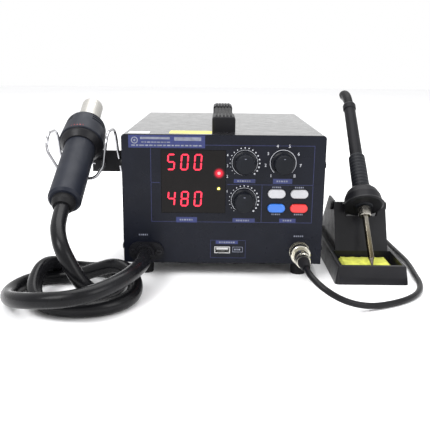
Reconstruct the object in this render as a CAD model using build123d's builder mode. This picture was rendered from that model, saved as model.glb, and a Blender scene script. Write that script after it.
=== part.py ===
"""Two-in-one rework station: hot air handset on its hose, soldering iron on its stand, and the control unit.

Millimetres, +Z up. The origin is on the bench, under the middle of the unit, handset cradle and iron stand.
Most places are measured from the middle of the unit across, from the front panel's face back, and from the bench up.
"""
from build123d import *
from math import cos, pi, radians, sin, tan
import os

os.makedirs("parts", exist_ok=True)

# ---- driving dimensions ----
UNIT_W = 187.0
UNIT_D = 235.0
BODY_H = 122.0
FOOT_H = 13.0
FOOT_R = 7.8
SHEET = 1.2
PANEL_T = 1.5
OVERLAY_T = 0.5
CORNER_R = 3.0
GAP = 0.2
FRONT_Y = -98.82

WINDOW_W = 59.4
WINDOW_H = 59.0
WINDOW_X = -27.6
WINDOW_Z = 91.6
DIGITS_W = 37.6
DIGITS_H = 19.0
DIGITS_T = 8.0
DIGITS_X = -36.0
DIGITS_Z = (110.0, 75.4)
LAMP_X = -4.0
LAMP_Z = (99.8, 85.4)

KNOBS = {"air_temp": (19.5, 109.8), "iron_temp": (19.3, 74.7), "air_flow": (54.5, 110.0)}
KNOB_R = 11.0
KNOB_H = 14.0
SHAFT_R = 3.0
SHAFT_GAP = 0.05
BUSH_R = 3.5
POT_R = 8.0
POT_T = 8.5

BUTTONS = {"cool": (49.5, 81.2), "sleep": (70.5, 81.2), "iron_power": (49.5, 67.6), "air_power": (70.5, 67.6)}
BUTTON_W = 16.3
BUTTON_H = 8.1
BUTTON_PROUD = 2.2
BUTTON_TRAVEL = 1.5

USB_X = -0.2
USB_Z = 26.4
USB_W = 14.7
USB_H = 6.5
SOCKET_X = 72.5
SOCKET_Z = 26.0
GLAND_X = -72.0
GLAND_Z = 24.6
HOSE_R = 6.6
CORD_R = 2.75

BOARD_T = 1.6
BOARD_X = 8.0
BOARD_W = 152.0
BOARD_Z = 93.0
BOARD_H = 78.0
BOARD_BLOCKS = ((-40, 112, 30, 12, 4), (20, 112, 19, 15, 15), (50, 112, 19, 15, 15), (-40, 80, 15, 10, 18))

# the handset rests in its cradle on the left side of the unit, nozzle up and back
HANDSET_TILT = 27.0
GRIP_R = 15.0
GRIP_LEN = 87.0
HEAD_R = 21.6
HEAD_LEN = 32.0
NOZZLE_R = 11.0
NOZZLE_LEN = 39.0
WIRE_R = 1.5

# the iron lies in its stand on the right of the unit, tip down and forward
IRON_TILT = 46.0
IRON_YAW = 1.3
BARREL_R = 2.85
NUT_R = 6.0
COLLAR_R = 8.75
IRON_GRIP_R = 6.5
BOOT_R = 4.6
CONE_R = 20.0
STAND_X = 139.0
STAND_W = 68.4
STAND_L = 150.0
STAND_H = 17.5
UPRIGHT_W = 52.0
UPRIGHT_T = 1.6

# ---- worked out from them ----
BACK_Y = FRONT_Y + UNIT_D
TOP_Z = FOOT_H + BODY_H
MID_Z = FOOT_H + BODY_H / 2
PANEL_Y = FRONT_Y + OVERLAY_T
INSIDE_Y = PANEL_Y + PANEL_T
REAR_Y = BACK_Y - SHEET
CASE_D = REAR_Y - INSIDE_Y
CASE_MID_Y = (INSIDE_Y + REAR_Y) / 2
WALL_X = UNIT_W / 2
BOARD_Y = FRONT_Y + 18.0
SWITCH_Y = FRONT_Y + 9.0
FLOOR_Z = FOOT_H + SHEET
HANDSET_RIM = (-140.4, FRONT_Y + 48.0, 118.0)
IRON_TIP = (STAND_X + 2, FRONT_Y - 8.8, 13.5)
STAND_FRONT = FRONT_Y - 20.0

BOTTOM = (Align.CENTER, Align.CENTER, Align.MIN)
FRONT_FACE = (Align.CENTER, Align.MIN, Align.CENTER)


def place(across, back, up):
    """A point given across from the unit's middle, back from the panel's face and up from the bench."""
    return (across, FRONT_Y + back, up)


def facing(back):
    """An upright plane that far behind the panel's face: its X across, its Y up, its normal to the front."""
    return Plane(origin=(0, FRONT_Y + back, 0), x_dir=(1, 0, 0), z_dir=(0, -1, 0))


def heading(tilt, yaw):
    """A unit vector that points back and up by tilt, turned by yaw about the vertical."""
    level = cos(radians(tilt))
    return Vector(-sin(radians(yaw)) * level, cos(radians(yaw)) * level, sin(radians(tilt)))


HANDSET_DIR = heading(HANDSET_TILT, 0)
HANDSET = Plane(origin=HANDSET_RIM, x_dir=HANDSET_DIR, z_dir=(1, 0, 0))
HANDSET_AXIS = Axis(HANDSET_RIM, HANDSET_DIR)
IRON_DIR = heading(IRON_TILT, IRON_YAW)
IRON_SIDE = Vector(cos(radians(IRON_YAW)), sin(radians(IRON_YAW)), 0)
IRON = Plane(origin=IRON_TIP, x_dir=IRON_DIR, z_dir=IRON_SIDE)
IRON_AXIS = Axis(IRON_TIP, IRON_DIR)


def along_handset(distance):
    """The point on the handset's axis that far from the near rim of its head."""
    return Vector(*HANDSET_RIM) + HANDSET_DIR * distance


def along_iron(distance):
    """The point on the iron's axis that far from its tip."""
    return Vector(*IRON_TIP) + IRON_DIR * distance


# ======== the unit's case ========
TRAY_W = UNIT_W - 2 * SHEET - 2 * GAP
TRAY_FLANGE_H = 12.0
FEET = [place(x, y, 0) for x in (-74.0, 74.0) for y in (14.0, 218.0)]
PUMP_X = -44.0
PUMP_Y = FRONT_Y + 140.0
PUMP_FEET = [(PUMP_X + dx, PUMP_Y + dy) for dx in (-34.0, 34.0) for dy in (-46.0, 46.0)]
CORE_X = 46.0
CORE_Y = FRONT_Y + 150.0
CORE_FEET = [(CORE_X + dx, CORE_Y) for dx in (-34.0, 34.0)]
SCREW_HOLE_R = 1.6

with BuildPart() as bottom_tray:
    with Locations((0, CASE_MID_Y, FOOT_H)):
        Box(TRAY_W, CASE_D - 2 * GAP, SHEET, align=BOTTOM)
    for side in (-1, 1):
        with Locations((side * (TRAY_W - SHEET) / 2, CASE_MID_Y, FOOT_H)):
            Box(SHEET, CASE_D - 40, TRAY_FLANGE_H, align=BOTTOM)
    with BuildSketch(Plane.XY.offset(FOOT_H)):
        with Locations(*[(x, y) for x, y, z in FEET], *PUMP_FEET, *CORE_FEET):
            Circle(SCREW_HOLE_R)
        with Locations(*[(20 + row * 9, FRONT_Y + 80) for row in range(6)]):
            SlotOverall(40, 3, rotation=90)
    extrude(amount=SHEET, mode=Mode.SUBTRACT)
bottom_tray.part.label = "bottom_tray"
export_step(bottom_tray.part, "parts/bottom_tray.step")

TAB_Z = (27.0, 107.0)
TAB_BACK = (9.0, UNIT_D - 9.0)
COVER_SCREWS = [(side, back, up) for side in (-1, 1) for back in TAB_BACK for up in TAB_Z]
HANDLE_BACK = (46.0, 184.0)
BRACKET_Z = 95.8
BRACKET_SCREW_BACK = (99.0, 111.0)

with BuildPart() as top_cover:
    with Locations((0, CASE_MID_Y, FOOT_H)):
        Box(UNIT_W, CASE_D, BODY_H, align=BOTTOM)
    fillet(top_cover.edges().filter_by(Axis.Y).group_by(Axis.Z)[-1], CORNER_R)
    with Locations((0, CASE_MID_Y, FOOT_H)):
        Box(UNIT_W - 2 * SHEET, CASE_D, BODY_H - SHEET, align=BOTTOM, mode=Mode.SUBTRACT)
    with Locations(*[place(0, 140 + 8 * slot, 60) for slot in range(10)]):
        Box(UNIT_W, 3, 34, mode=Mode.SUBTRACT)
    with Locations(*[place(0, back, up) for back in TAB_BACK for up in TAB_Z]):
        Cylinder(SCREW_HOLE_R, UNIT_W, rotation=(0, 90, 0), mode=Mode.SUBTRACT)
    with Locations(*[place(0, back, TOP_Z) for back in HANDLE_BACK]):
        Cylinder(SCREW_HOLE_R, 4, mode=Mode.SUBTRACT)
    with Locations(*[place(-WALL_X, back, BRACKET_Z) for back in BRACKET_SCREW_BACK]):
        Cylinder(SCREW_HOLE_R, 4, rotation=(0, 90, 0), mode=Mode.SUBTRACT)
top_cover.part.label = "top_cover"
export_step(top_cover.part, "parts/top_cover.step")

TAB_T = 1.5
TAB_D = 13.0
TAB_H = 14.0
TAB_X = WALL_X - SHEET - GAP - TAB_T / 2
PANEL_POSTS = [(-66.0, 128.0), (82.0, 128.0), (-66.0, 58.0), (36.0, 58.0)]

with BuildPart() as front_panel:
    with BuildSketch(facing(OVERLAY_T)):
        with Locations((0, MID_Z)):
            Rectangle(UNIT_W, BODY_H)
    extrude(amount=-PANEL_T)
    fillet(front_panel.edges().filter_by(Axis.Y).group_by(Axis.Z)[-1], CORNER_R)
    with BuildSketch(facing(OVERLAY_T)):
        with Locations((WINDOW_X, WINDOW_Z)):
            Rectangle(WINDOW_W + GAP, WINDOW_H + GAP)
        with Locations(*KNOBS.values()):
            Circle(BUSH_R + 0.1)
        with Locations(*BUTTONS.values()):
            SlotOverall(BUTTON_W + 2 * GAP, BUTTON_H + 2 * GAP)
        with Locations((USB_X, USB_Z)):
            Rectangle(USB_W + GAP, USB_H + GAP)
        with Locations((SOCKET_X, SOCKET_Z)):
            Circle(8.1)
        with Locations((GLAND_X, GLAND_Z)):
            Circle(7.4)
        with Locations((GLAND_X - 12.3, GLAND_Z), (GLAND_X + 12.3, GLAND_Z)):
            Circle(SCREW_HOLE_R)
    extrude(amount=-PANEL_T, mode=Mode.SUBTRACT)
    with Locations(*[(side * TAB_X, INSIDE_Y, up) for side in (-1, 1) for up in TAB_Z]):
        Box(TAB_T, TAB_D, TAB_H, align=FRONT_FACE)
    with Locations(*[place(0, TAB_BACK[0], up) for up in TAB_Z]):
        Cylinder(SCREW_HOLE_R, UNIT_W, rotation=(0, 90, 0), mode=Mode.SUBTRACT)
    for x, z in PANEL_POSTS:
        with Locations((x, (INSIDE_Y + BOARD_Y) / 2, z)):
            Cylinder(2.8, BOARD_Y - INSIDE_Y, rotation=(90, 0, 0))
        with Locations((x, BOARD_Y + 2, z)):
            Cylinder(1.5, 4, rotation=(90, 0, 0))
front_panel.part.label = "front_panel"
export_step(front_panel.part, "parts/front_panel.step")

with BuildPart() as front_overlay:
    with BuildSketch(facing(0)):
        with Locations((0, MID_Z)):
            RectangleRounded(UNIT_W - 1, BODY_H - 1, CORNER_R - 0.5)
        with Locations((WINDOW_X, WINDOW_Z)):
            Rectangle(WINDOW_W + GAP, WINDOW_H + GAP, mode=Mode.SUBTRACT)
        with Locations(*KNOBS.values()):
            Circle(BUSH_R + 0.1, mode=Mode.SUBTRACT)
        with Locations(*BUTTONS.values()):
            SlotOverall(BUTTON_W + 2 * GAP, BUTTON_H + 2 * GAP, mode=Mode.SUBTRACT)
        with Locations((USB_X, USB_Z)):
            Rectangle(USB_W + GAP, USB_H + GAP, mode=Mode.SUBTRACT)
        with Locations((SOCKET_X, SOCKET_Z)):
            Circle(8.1, mode=Mode.SUBTRACT)
        with Locations((GLAND_X, GLAND_Z)):
            Circle(7.4, mode=Mode.SUBTRACT)
        with Locations((GLAND_X - 12.3, GLAND_Z), (GLAND_X + 12.3, GLAND_Z)):
            Circle(SCREW_HOLE_R, mode=Mode.SUBTRACT)
    extrude(amount=-OVERLAY_T)
front_overlay.part.label = "front_overlay"
export_step(front_overlay.part, "parts/front_overlay.step")

INLET_X = 46.0
INLET_Z = 44.0
INLET_W = 27.6
INLET_H = 34.0

with BuildPart() as rear_panel:
    with BuildSketch(facing(UNIT_D)):
        with Locations((0, MID_Z)):
            Rectangle(UNIT_W, BODY_H)
        with Locations((INLET_X, INLET_Z)):
            Rectangle(INLET_W + GAP, INLET_H + GAP, mode=Mode.SUBTRACT)
        with Locations(*[(-44, 42 + 7 * slot) for slot in range(8)]):
            SlotOverall(60, 3, mode=Mode.SUBTRACT)
    extrude(amount=SHEET)
    fillet(rear_panel.edges().filter_by(Axis.Y).group_by(Axis.Z)[-1], CORNER_R)
    with Locations(*[(side * TAB_X, REAR_Y - TAB_D / 2, up) for side in (-1, 1) for up in TAB_Z]):
        Box(TAB_T, TAB_D, TAB_H)
    with Locations(*[place(0, TAB_BACK[1], up) for up in TAB_Z]):
        Cylinder(SCREW_HOLE_R, UNIT_W, rotation=(0, 90, 0), mode=Mode.SUBTRACT)
rear_panel.part.label = "rear_panel"
export_step(rear_panel.part, "parts/rear_panel.step")

with BuildPart() as rubber_feet:
    with Locations(*FEET):
        Cone(FOOT_R - 0.8, FOOT_R, FOOT_H, align=BOTTOM)
    with Locations(*[(x, y, 0) for x, y, z in FEET]):
        Cylinder(3.4, 8, align=BOTTOM, mode=Mode.SUBTRACT)
        Cylinder(SCREW_HOLE_R, FOOT_H, align=BOTTOM, mode=Mode.SUBTRACT)
rubber_feet.part.label = "rubber_feet"
export_step(rubber_feet.part, "parts/rubber_feet.step")

# ======== the carrying handle: a flexible strap held in two end caps ========
CAP_L = 42.0
CAP_W = 22.0
CAP_H = 14.2
STRAP_W = 19.4
STRAP_T = 4.6
STRAP_Z = TOP_Z + 8.4

with BuildPart() as handle_caps:
    with Locations(*[place(0, back, TOP_Z) for back in HANDLE_BACK]):
        Box(CAP_W, CAP_L, CAP_H, align=BOTTOM)
    fillet(handle_caps.edges().filter_by(Axis.Y).group_by(Axis.Z)[-1], 3.0)
    fillet(handle_caps.edges().filter_by(Axis.X).group_by(Axis.Z)[-1], 2.0)
    for back, end in zip(HANDLE_BACK, (1, -1)):
        with Locations(place(0, back + end * 4, STRAP_Z - 0.4)):
            Box(STRAP_W + 0.8, CAP_L, STRAP_T + 0.8, align=BOTTOM, mode=Mode.SUBTRACT)
        with Locations(place(0, back, TOP_Z)):
            Cylinder(1.6, STRAP_Z - TOP_Z, align=BOTTOM, mode=Mode.SUBTRACT)
handle_caps.part.label = "handle_caps"
export_step(handle_caps.part, "parts/handle_caps.step")

STRAP_FRONT = HANDLE_BACK[0] - 14
STRAP_BACK = HANDLE_BACK[1] + 14

with BuildPart() as handle_strap:
    with Locations(place(0, (STRAP_FRONT + STRAP_BACK) / 2, STRAP_Z)):
        Box(STRAP_W, STRAP_BACK - STRAP_FRONT, STRAP_T, align=BOTTOM)
    fillet(handle_strap.edges().filter_by(Axis.Y), 1.4)
handle_strap.part.label = "handle_strap"
export_step(handle_strap.part, "parts/handle_strap.step")

# ======== the front panel's displays, lamps, knobs and buttons ========
with BuildPart() as display_window:
    with Locations((WINDOW_X, FRONT_Y, WINDOW_Z)):
        Box(WINDOW_W, OVERLAY_T + PANEL_T, WINDOW_H, align=FRONT_FACE)
    fillet(display_window.edges().group_by(Axis.Y)[0], 0.3)
display_window.part.label = "display_window"
export_step(display_window.part, "parts/display_window.step")

with BuildPart() as led_displays:
    with Locations(*[(DIGITS_X, INSIDE_Y + 0.5, up) for up in DIGITS_Z]):
        Box(DIGITS_W, DIGITS_T, DIGITS_H, align=FRONT_FACE)
    pins = [(DIGITS_X + x, INSIDE_Y + 0.5 + DIGITS_T, up + z)
            for up in DIGITS_Z for x in range(-15, 16, 5) for z in (-7.5, 7.5)]
    with Locations(*pins):
        Box(0.6, BOARD_Y - INSIDE_Y - 0.5 - DIGITS_T, 0.6, align=FRONT_FACE)
led_displays.part.label = "led_displays"
export_step(led_displays.part, "parts/led_displays.step")

with BuildPart() as indicator_lamps:
    with Locations(*[(LAMP_X, INSIDE_Y + 4.5, up) for up in LAMP_Z]):
        Cylinder(1.5, 4, rotation=(90, 0, 0))
        with Locations((0, -2, 0)):
            Sphere(1.5)
    with Locations(*[(LAMP_X + x, INSIDE_Y + 6.5, up) for up in LAMP_Z for x in (-0.9, 0.9)]):
        Box(0.5, BOARD_Y - INSIDE_Y - 6.5, 0.5, align=FRONT_FACE)
indicator_lamps.part.label = "indicator_lamps"
export_step(indicator_lamps.part, "parts/indicator_lamps.step")

with BuildPart() as control_board:
    with Locations((BOARD_X, BOARD_Y, BOARD_Z)):
        Box(BOARD_W, BOARD_T, BOARD_H, align=FRONT_FACE)
    with Locations(*[(x, BOARD_Y + BOARD_T / 2, z) for x, z in PANEL_POSTS]):
        Cylinder(1.6, 2 * BOARD_T, rotation=(90, 0, 0), mode=Mode.SUBTRACT)
    for x, z, wide, high, deep in BOARD_BLOCKS:
        with Locations((x, BOARD_Y + BOARD_T, z)):
            Box(wide, deep, high, align=FRONT_FACE)
    with Locations(*[(x, BOARD_Y + BOARD_T + 8, 66) for x in (0, 14, 28)]):
        Cylinder(5, 16, rotation=(90, 0, 0))
    with Locations(*[(x, SWITCH_Y, z) for x, z in BUTTONS.values()]):
        Box(10, BOARD_Y - SWITCH_Y, 10, align=FRONT_FACE)
        Box(4.4, 6.5, 4.4, align=FRONT_FACE, mode=Mode.SUBTRACT)
control_board.part.label = "control_board"
export_step(control_board.part, "parts/control_board.step")

BUSH_L = 4.2

with BuildPart() as potentiometers:
    for x, z in KNOBS.values():
        with Locations((x, INSIDE_Y + POT_T / 2, z)):
            Cylinder(POT_R, POT_T, rotation=(90, 0, 0))
        with Locations((x, INSIDE_Y - BUSH_L / 2, z)):
            Cylinder(BUSH_R, BUSH_L, rotation=(90, 0, 0))
        with Locations((x, INSIDE_Y + POT_T, z)):
            Box(11, BOARD_Y - INSIDE_Y - POT_T, 9, align=FRONT_FACE)
    for x, z in KNOBS.values():
        with BuildSketch(facing(0)):
            with Locations((x, z)):
                RegularPolygon(5.2, 6)
        extrude(amount=1.8)
    for x, z in KNOBS.values():
        with Locations((x, INSIDE_Y + 1, z)):
            Cylinder(SHAFT_R + SHAFT_GAP, 14, rotation=(90, 0, 0), mode=Mode.SUBTRACT)
potentiometers.part.label = "potentiometers"
export_step(potentiometers.part, "parts/potentiometers.step")

KNOB_BACK_Y = FRONT_Y - 2.6
SHAFT_BACK_Y = INSIDE_Y + 7.5
FLUTES = 18

for name, (x, z) in KNOBS.items():
    with BuildPart() as knob:
        with BuildSketch(Plane(origin=(x, KNOB_BACK_Y, z), x_dir=(0, -1, 0), z_dir=(1, 0, 0))):
            with BuildLine():
                Polyline((0, 0), (0, KNOB_R - 0.6), (0.6, KNOB_R), (2.0, KNOB_R), (2.8, KNOB_R - 1.4))
                Line((2.8, KNOB_R - 1.4), (KNOB_H - 2.4, KNOB_R - 2.2))
                Line((KNOB_H - 2.4, KNOB_R - 2.2), (KNOB_H - 1.6, KNOB_R - 3.0))
                Line((KNOB_H - 1.6, KNOB_R - 3.0), (KNOB_H - 1.6, 0))
                Line((KNOB_H - 1.6, 0), (0, 0))
            make_face()
        revolve(axis=Axis((x, KNOB_BACK_Y, z), (0, -1, 0)))
        with Locations((x, KNOB_BACK_Y - 8.8, z)):
            with Locations(*[(10.0 * cos(2 * pi * i / FLUTES), 0, 10.0 * sin(2 * pi * i / FLUTES))
                             for i in range(FLUTES)]):
                Cylinder(0.7, 11, rotation=(90, 0, 0), mode=Mode.SUBTRACT)
        with Locations((x, (KNOB_BACK_Y + SHAFT_BACK_Y) / 2, z)):
            Cylinder(SHAFT_R, SHAFT_BACK_Y - KNOB_BACK_Y, rotation=(90, 0, 0))
    knob.part.label = name + "_knob"
    export_step(knob.part, "parts/" + name + "_knob.step")

for name, (x, z) in BUTTONS.items():
    with BuildPart() as button:
        with BuildSketch(facing(-BUTTON_PROUD)):
            with Locations((x, z)):
                SlotOverall(BUTTON_W, BUTTON_H)
        extrude(amount=-(BUTTON_PROUD + 5.0))
        fillet(button.edges().group_by(Axis.Y)[0], 0.9)
        with Locations((x, FRONT_Y + 3.5, z)):
            Box(BUTTON_W + 2, 1.5, BUTTON_H + 1.6, align=FRONT_FACE)
        with Locations((x, FRONT_Y + 5, z)):
            Box(4, SWITCH_Y - FRONT_Y - 2, 4, align=FRONT_FACE)
    button.part.label = name + "_button"
    export_step(button.part, "parts/" + name + "_button.step")

with BuildPart() as usb_port:
    with Locations((USB_X, FRONT_Y - 0.4, USB_Z)):
        Box(USB_W, 17, USB_H, align=FRONT_FACE)
        Box(USB_W - 1.2, 12, USB_H - 1.2, align=FRONT_FACE, mode=Mode.SUBTRACT)
    with Locations((USB_X, FRONT_Y + 0.6, USB_Z + 1.0)):
        Box(11, 12, 2, align=FRONT_FACE)
usb_port.part.label = "usb_port"
export_step(usb_port.part, "parts/usb_port.step")

# ======== the iron's socket and plug ========
SPIGOT_R = 7.6
RING_R = 9.2

with BuildPart() as iron_socket:
    with BuildSketch(Plane(origin=(SOCKET_X, FRONT_Y, SOCKET_Z), x_dir=(0, -1, 0), z_dir=(1, 0, 0))):
        with BuildLine():
            Polyline((-14, 0), (-14, 8.0), (0, 8.0), (0, 9.4), (1.6, 9.4), (1.6, SPIGOT_R), (9, SPIGOT_R),
                     (9, 6.6), (-2, 6.6), (-2, 0), close=True)
        make_face()
    revolve(axis=Axis((SOCKET_X, FRONT_Y, SOCKET_Z), (0, -1, 0)))
    with BuildSketch(facing(OVERLAY_T + PANEL_T)):
        with Locations((SOCKET_X, SOCKET_Z)):
            RegularPolygon(11.0, 6)
            Circle(8.0, mode=Mode.SUBTRACT)
    extrude(amount=-3)
iron_socket.part.label = "iron_socket"
export_step(iron_socket.part, "parts/iron_socket.step")

with BuildPart() as iron_plug:
    with BuildSketch(Plane(origin=(SOCKET_X, FRONT_Y, SOCKET_Z), x_dir=(0, -1, 0), z_dir=(1, 0, 0))):
        with BuildLine():
            Polyline((-1, 0), (-1, 6.5), (9.3, 6.5), (9.3, 7.6), (11.8, 7.6), (11.8, 7.2), (28, 7.2),
                     (30, 6.2), (34, 6.2), (34, 0), close=True)
        make_face()
    revolve(axis=Axis((SOCKET_X, FRONT_Y, SOCKET_Z), (0, -1, 0)))
    with Locations((SOCKET_X, FRONT_Y - 24, SOCKET_Z + 7.2)):
        Cylinder(1.6, 2, mode=Mode.SUBTRACT)
iron_plug.part.label = "iron_plug"
export_step(iron_plug.part, "parts/iron_plug.step")

with BuildPart() as plug_ring:
    with BuildSketch(Plane(origin=(SOCKET_X, FRONT_Y, SOCKET_Z), x_dir=(0, -1, 0), z_dir=(1, 0, 0))):
        with BuildLine():
            Polyline((1.9, 7.7), (1.9, RING_R - 0.5), (2.4, RING_R), (14, RING_R), (14.6, RING_R - 0.6),
                     (14.6, 7.3), (12, 7.3), (12, 7.7), close=True)
        make_face()
    revolve(axis=Axis((SOCKET_X, FRONT_Y, SOCKET_Z), (0, -1, 0)))
    with Locations((SOCKET_X, FRONT_Y - 8.5, SOCKET_Z)):
        with Locations(*[(9.3 * cos(2 * pi * i / 30), 0, 9.3 * sin(2 * pi * i / 30)) for i in range(30)]):
            Cylinder(0.45, 7, rotation=(90, 0, 0), mode=Mode.SUBTRACT)
plug_ring.part.label = "plug_ring"
export_step(plug_ring.part, "parts/plug_ring.step")

with BuildPart() as plug_boot:
    with BuildSketch(Plane(origin=(SOCKET_X, FRONT_Y, SOCKET_Z), x_dir=(0, -1, 0), z_dir=(1, 0, 0))):
        with BuildLine():
            Polyline((34, 0), (34, 5.6), (42, 4.8), (51, CORD_R + 0.7), (51, CORD_R + 0.05), (38, CORD_R + 0.05),
                     (38, 0), close=True)
        make_face()
    revolve(axis=Axis((SOCKET_X, FRONT_Y, SOCKET_Z), (0, -1, 0)))
plug_boot.part.label = "plug_boot"
export_step(plug_boot.part, "parts/plug_boot.step")


def corner_radii(route):
    """For each corner of a route, the largest arc that leaves a tenth of its shorter run straight."""
    radii = []
    for before, corner, after in zip(route, route[1:], route[2:]):
        first = Vector(*corner) - Vector(*before)
        second = Vector(*after) - Vector(*corner)
        half_turn = radians(first.get_angle(second)) / 2
        radii.append(0.45 * min(first.length, second.length) / tan(half_turn))
    return radii


def route_length(route, radii):
    """Length of a route whose corners are rounded to those radii."""
    length = sum((Vector(*b) - Vector(*a)).length for a, b in zip(route, route[1:]))
    for before, corner, after, radius in zip(route, route[1:], route[2:], radii):
        turn = radians((Vector(*corner) - Vector(*before)).get_angle(Vector(*after) - Vector(*corner)))
        length += radius * turn - 2 * radius * tan(turn / 2)
    return length


def tube_check(name, part, route, radius):
    """Print how tight a cord's route is, and how the tube's volume compares with section times length."""
    radii = corner_radii(route)
    length = route_length(route, radii)
    print(name, "length", round(length), "tightest", round(min(radii)), "volume/expected",
          round(part.volume / (pi * radius ** 2 * length), 4))


# the iron's cord: out of the plug, along the bench past the stand, into a coil, and up to the iron
CORD_Z = CORD_R + 0.1
CORD_ROUTE = [place(*point) for point in (
    (72.5, -38.5, 26), (72.5, -56.5, 26), (75, -67, 23.8), (81, -76.5, 19.8), (90, -83, 14.8), (101, -85.5, 10),
    (113.5, -84, 6.2), (127, -79, 3.6), (141, -72.5, CORD_Z), (156, -64, CORD_Z), (169, -52, CORD_Z),
    (178, -37, CORD_Z), (183, -19, CORD_Z), (185, 2, CORD_Z), (187.5, 24, CORD_Z), (189, 48, CORD_Z),
    (187.7, 72, CORD_Z), (186.8, 96, CORD_Z), (186.3, 118, CORD_Z), (187, 139, CORD_Z), (190.5, 159, CORD_Z),
    (195.5, 177.5, CORD_Z))]
COIL_AT = (170.0, 205.0)
COIL_MEAN_R = 27.0
COIL_W = 12.6
COIL_H = 11.6
RISE_ROUTE = [place(*point) for point in (
    (168, 180, 14.6), (178, 180.5, 17), (185, 182.5, 24), (187, 186, 34), (184, 189, 45), (178, 191.5, 57.5),
    (171.5, 192.5, 72), (166, 192.5, 88), (161.5, 192, 104), (157.5, 191, 120), (153.5, 189, 135),
    (149, 185, 148), (143.5, 178, 157.5))]

with BuildPart() as iron_cord:
    with BuildLine() as route:
        FilletPolyline(*CORD_ROUTE, radius=corner_radii(CORD_ROUTE))
    with BuildSketch(Plane(origin=CORD_ROUTE[0], z_dir=Vector(*CORD_ROUTE[1]) - Vector(*CORD_ROUTE[0]))):
        Circle(CORD_R)
    sweep(path=route.line)
iron_cord.part.label = "iron_cord"
export_step(iron_cord.part, "parts/iron_cord.step")
tube_check("iron_cord", iron_cord.part, CORD_ROUTE, CORD_R)

with BuildPart() as iron_cord_coil:
    with BuildSketch(Plane.XY.offset(CORD_Z - CORD_R)):
        with Locations((COIL_AT[0], FRONT_Y + COIL_AT[1])):
            Circle(COIL_MEAN_R + COIL_W / 2)
            Circle(COIL_MEAN_R - COIL_W / 2, mode=Mode.SUBTRACT)
    extrude(amount=COIL_H)
    fillet(iron_cord_coil.edges().filter_by(GeomType.CIRCLE), 2.5)
iron_cord_coil.part.label = "iron_cord_coil"
export_step(iron_cord_coil.part, "parts/iron_cord_coil.step")

# ======== the iron, on its slanted axis ========
BOOT_FROM = 196.0
BOOT_BEND_R = 32.0
BOOT_TURN = 60.0
BOOT_START = along_iron(BOOT_FROM)
BOOT_CENTRE = BOOT_START + heading(IRON_TILT - 90, IRON_YAW) * BOOT_BEND_R
BOOT_END = BOOT_CENTRE - heading(IRON_TILT - BOOT_TURN - 90, IRON_YAW) * BOOT_BEND_R
BOOT_END_DIR = heading(IRON_TILT - BOOT_TURN, IRON_YAW)
IRON_RISE = [*RISE_ROUTE, tuple(BOOT_END + BOOT_END_DIR * 11), tuple(BOOT_END)]

with BuildPart() as iron_cord_rise:
    with BuildLine() as route:
        FilletPolyline(*IRON_RISE, radius=corner_radii(IRON_RISE))
    with BuildSketch(Plane(origin=IRON_RISE[0], z_dir=Vector(*IRON_RISE[1]) - Vector(*IRON_RISE[0]))):
        Circle(CORD_R)
    sweep(path=route.line)
iron_cord_rise.part.label = "iron_cord_rise"
export_step(iron_cord_rise.part, "parts/iron_cord_rise.step")
tube_check("iron_cord_rise", iron_cord_rise.part, IRON_RISE, CORD_R)

with BuildPart() as iron_boot:
    with BuildSketch(Plane(origin=BOOT_START, x_dir=IRON_SIDE, z_dir=IRON_DIR)):
        Circle(BOOT_R)
    revolve(axis=Axis(BOOT_CENTRE, IRON_SIDE), revolution_arc=-BOOT_TURN)
iron_boot.part.label = "iron_boot"
export_step(iron_boot.part, "parts/iron_boot.step")

with BuildPart() as iron_tip:
    with BuildSketch(IRON):
        with BuildLine():
            Polyline((0, 0), (0, 0.4), (9, 2.4), (30, 2.4), (30, 0), close=True)
        make_face()
    revolve(axis=IRON_AXIS)
iron_tip.part.label = "iron_tip"
export_step(iron_tip.part, "parts/iron_tip.step")

with BuildPart() as iron_barrel:
    with BuildSketch(IRON):
        with BuildLine():
            Polyline((9, 2.5), (9, BARREL_R - 0.1), (9.3, BARREL_R), (56.6, BARREL_R), (56.6, 4.6), (58, 4.6),
                     (58, 2.5), close=True)
        make_face()
    revolve(axis=IRON_AXIS)
iron_barrel.part.label = "iron_barrel"
export_step(iron_barrel.part, "parts/iron_barrel.step")

with BuildPart() as iron_nut:
    with BuildSketch(IRON):
        with BuildLine():
            Polyline((55, 3.0), (55, NUT_R - 0.9), (55.8, NUT_R), (64.2, NUT_R), (65, NUT_R - 0.5), (65, 5.1),
                     (56.5, 5.1), (56.5, 3.0), close=True)
        make_face()
    revolve(axis=IRON_AXIS)
    for i in range(20):
        with BuildSketch(Plane(origin=along_iron(57), x_dir=IRON_SIDE, z_dir=IRON_DIR)):
            with Locations((NUT_R * cos(2 * pi * i / 20), NUT_R * sin(2 * pi * i / 20))):
                Circle(0.4)
        extrude(amount=6.5, mode=Mode.SUBTRACT)
iron_nut.part.label = "iron_nut"
export_step(iron_nut.part, "parts/iron_nut.step")

with BuildPart() as iron_collar:
    with BuildSketch(IRON):
        with BuildLine():
            Polyline((58.1, 0), (58.1, 4.9), (65.2, 4.9), (65.2, 8), (66, COLLAR_R), (112, COLLAR_R - 0.2),
                     (125, COLLAR_R - 0.5), (127, IRON_GRIP_R + 0.6), (127, 0), close=True)
        make_face()
    revolve(axis=IRON_AXIS)
iron_collar.part.label = "iron_collar"
export_step(iron_collar.part, "parts/iron_collar.step")

with BuildPart() as iron_handle:
    with BuildSketch(IRON):
        with BuildLine():
            Polyline((127, 0), (127, IRON_GRIP_R), (188, IRON_GRIP_R - 0.5), (189, IRON_GRIP_R + 0.4),
                     (194, IRON_GRIP_R + 0.4), (BOOT_FROM, IRON_GRIP_R - 0.6), (BOOT_FROM, 0), close=True)
        make_face()
    revolve(axis=IRON_AXIS)
iron_handle.part.label = "iron_handle"
export_step(iron_handle.part, "parts/iron_handle.step")

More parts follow.
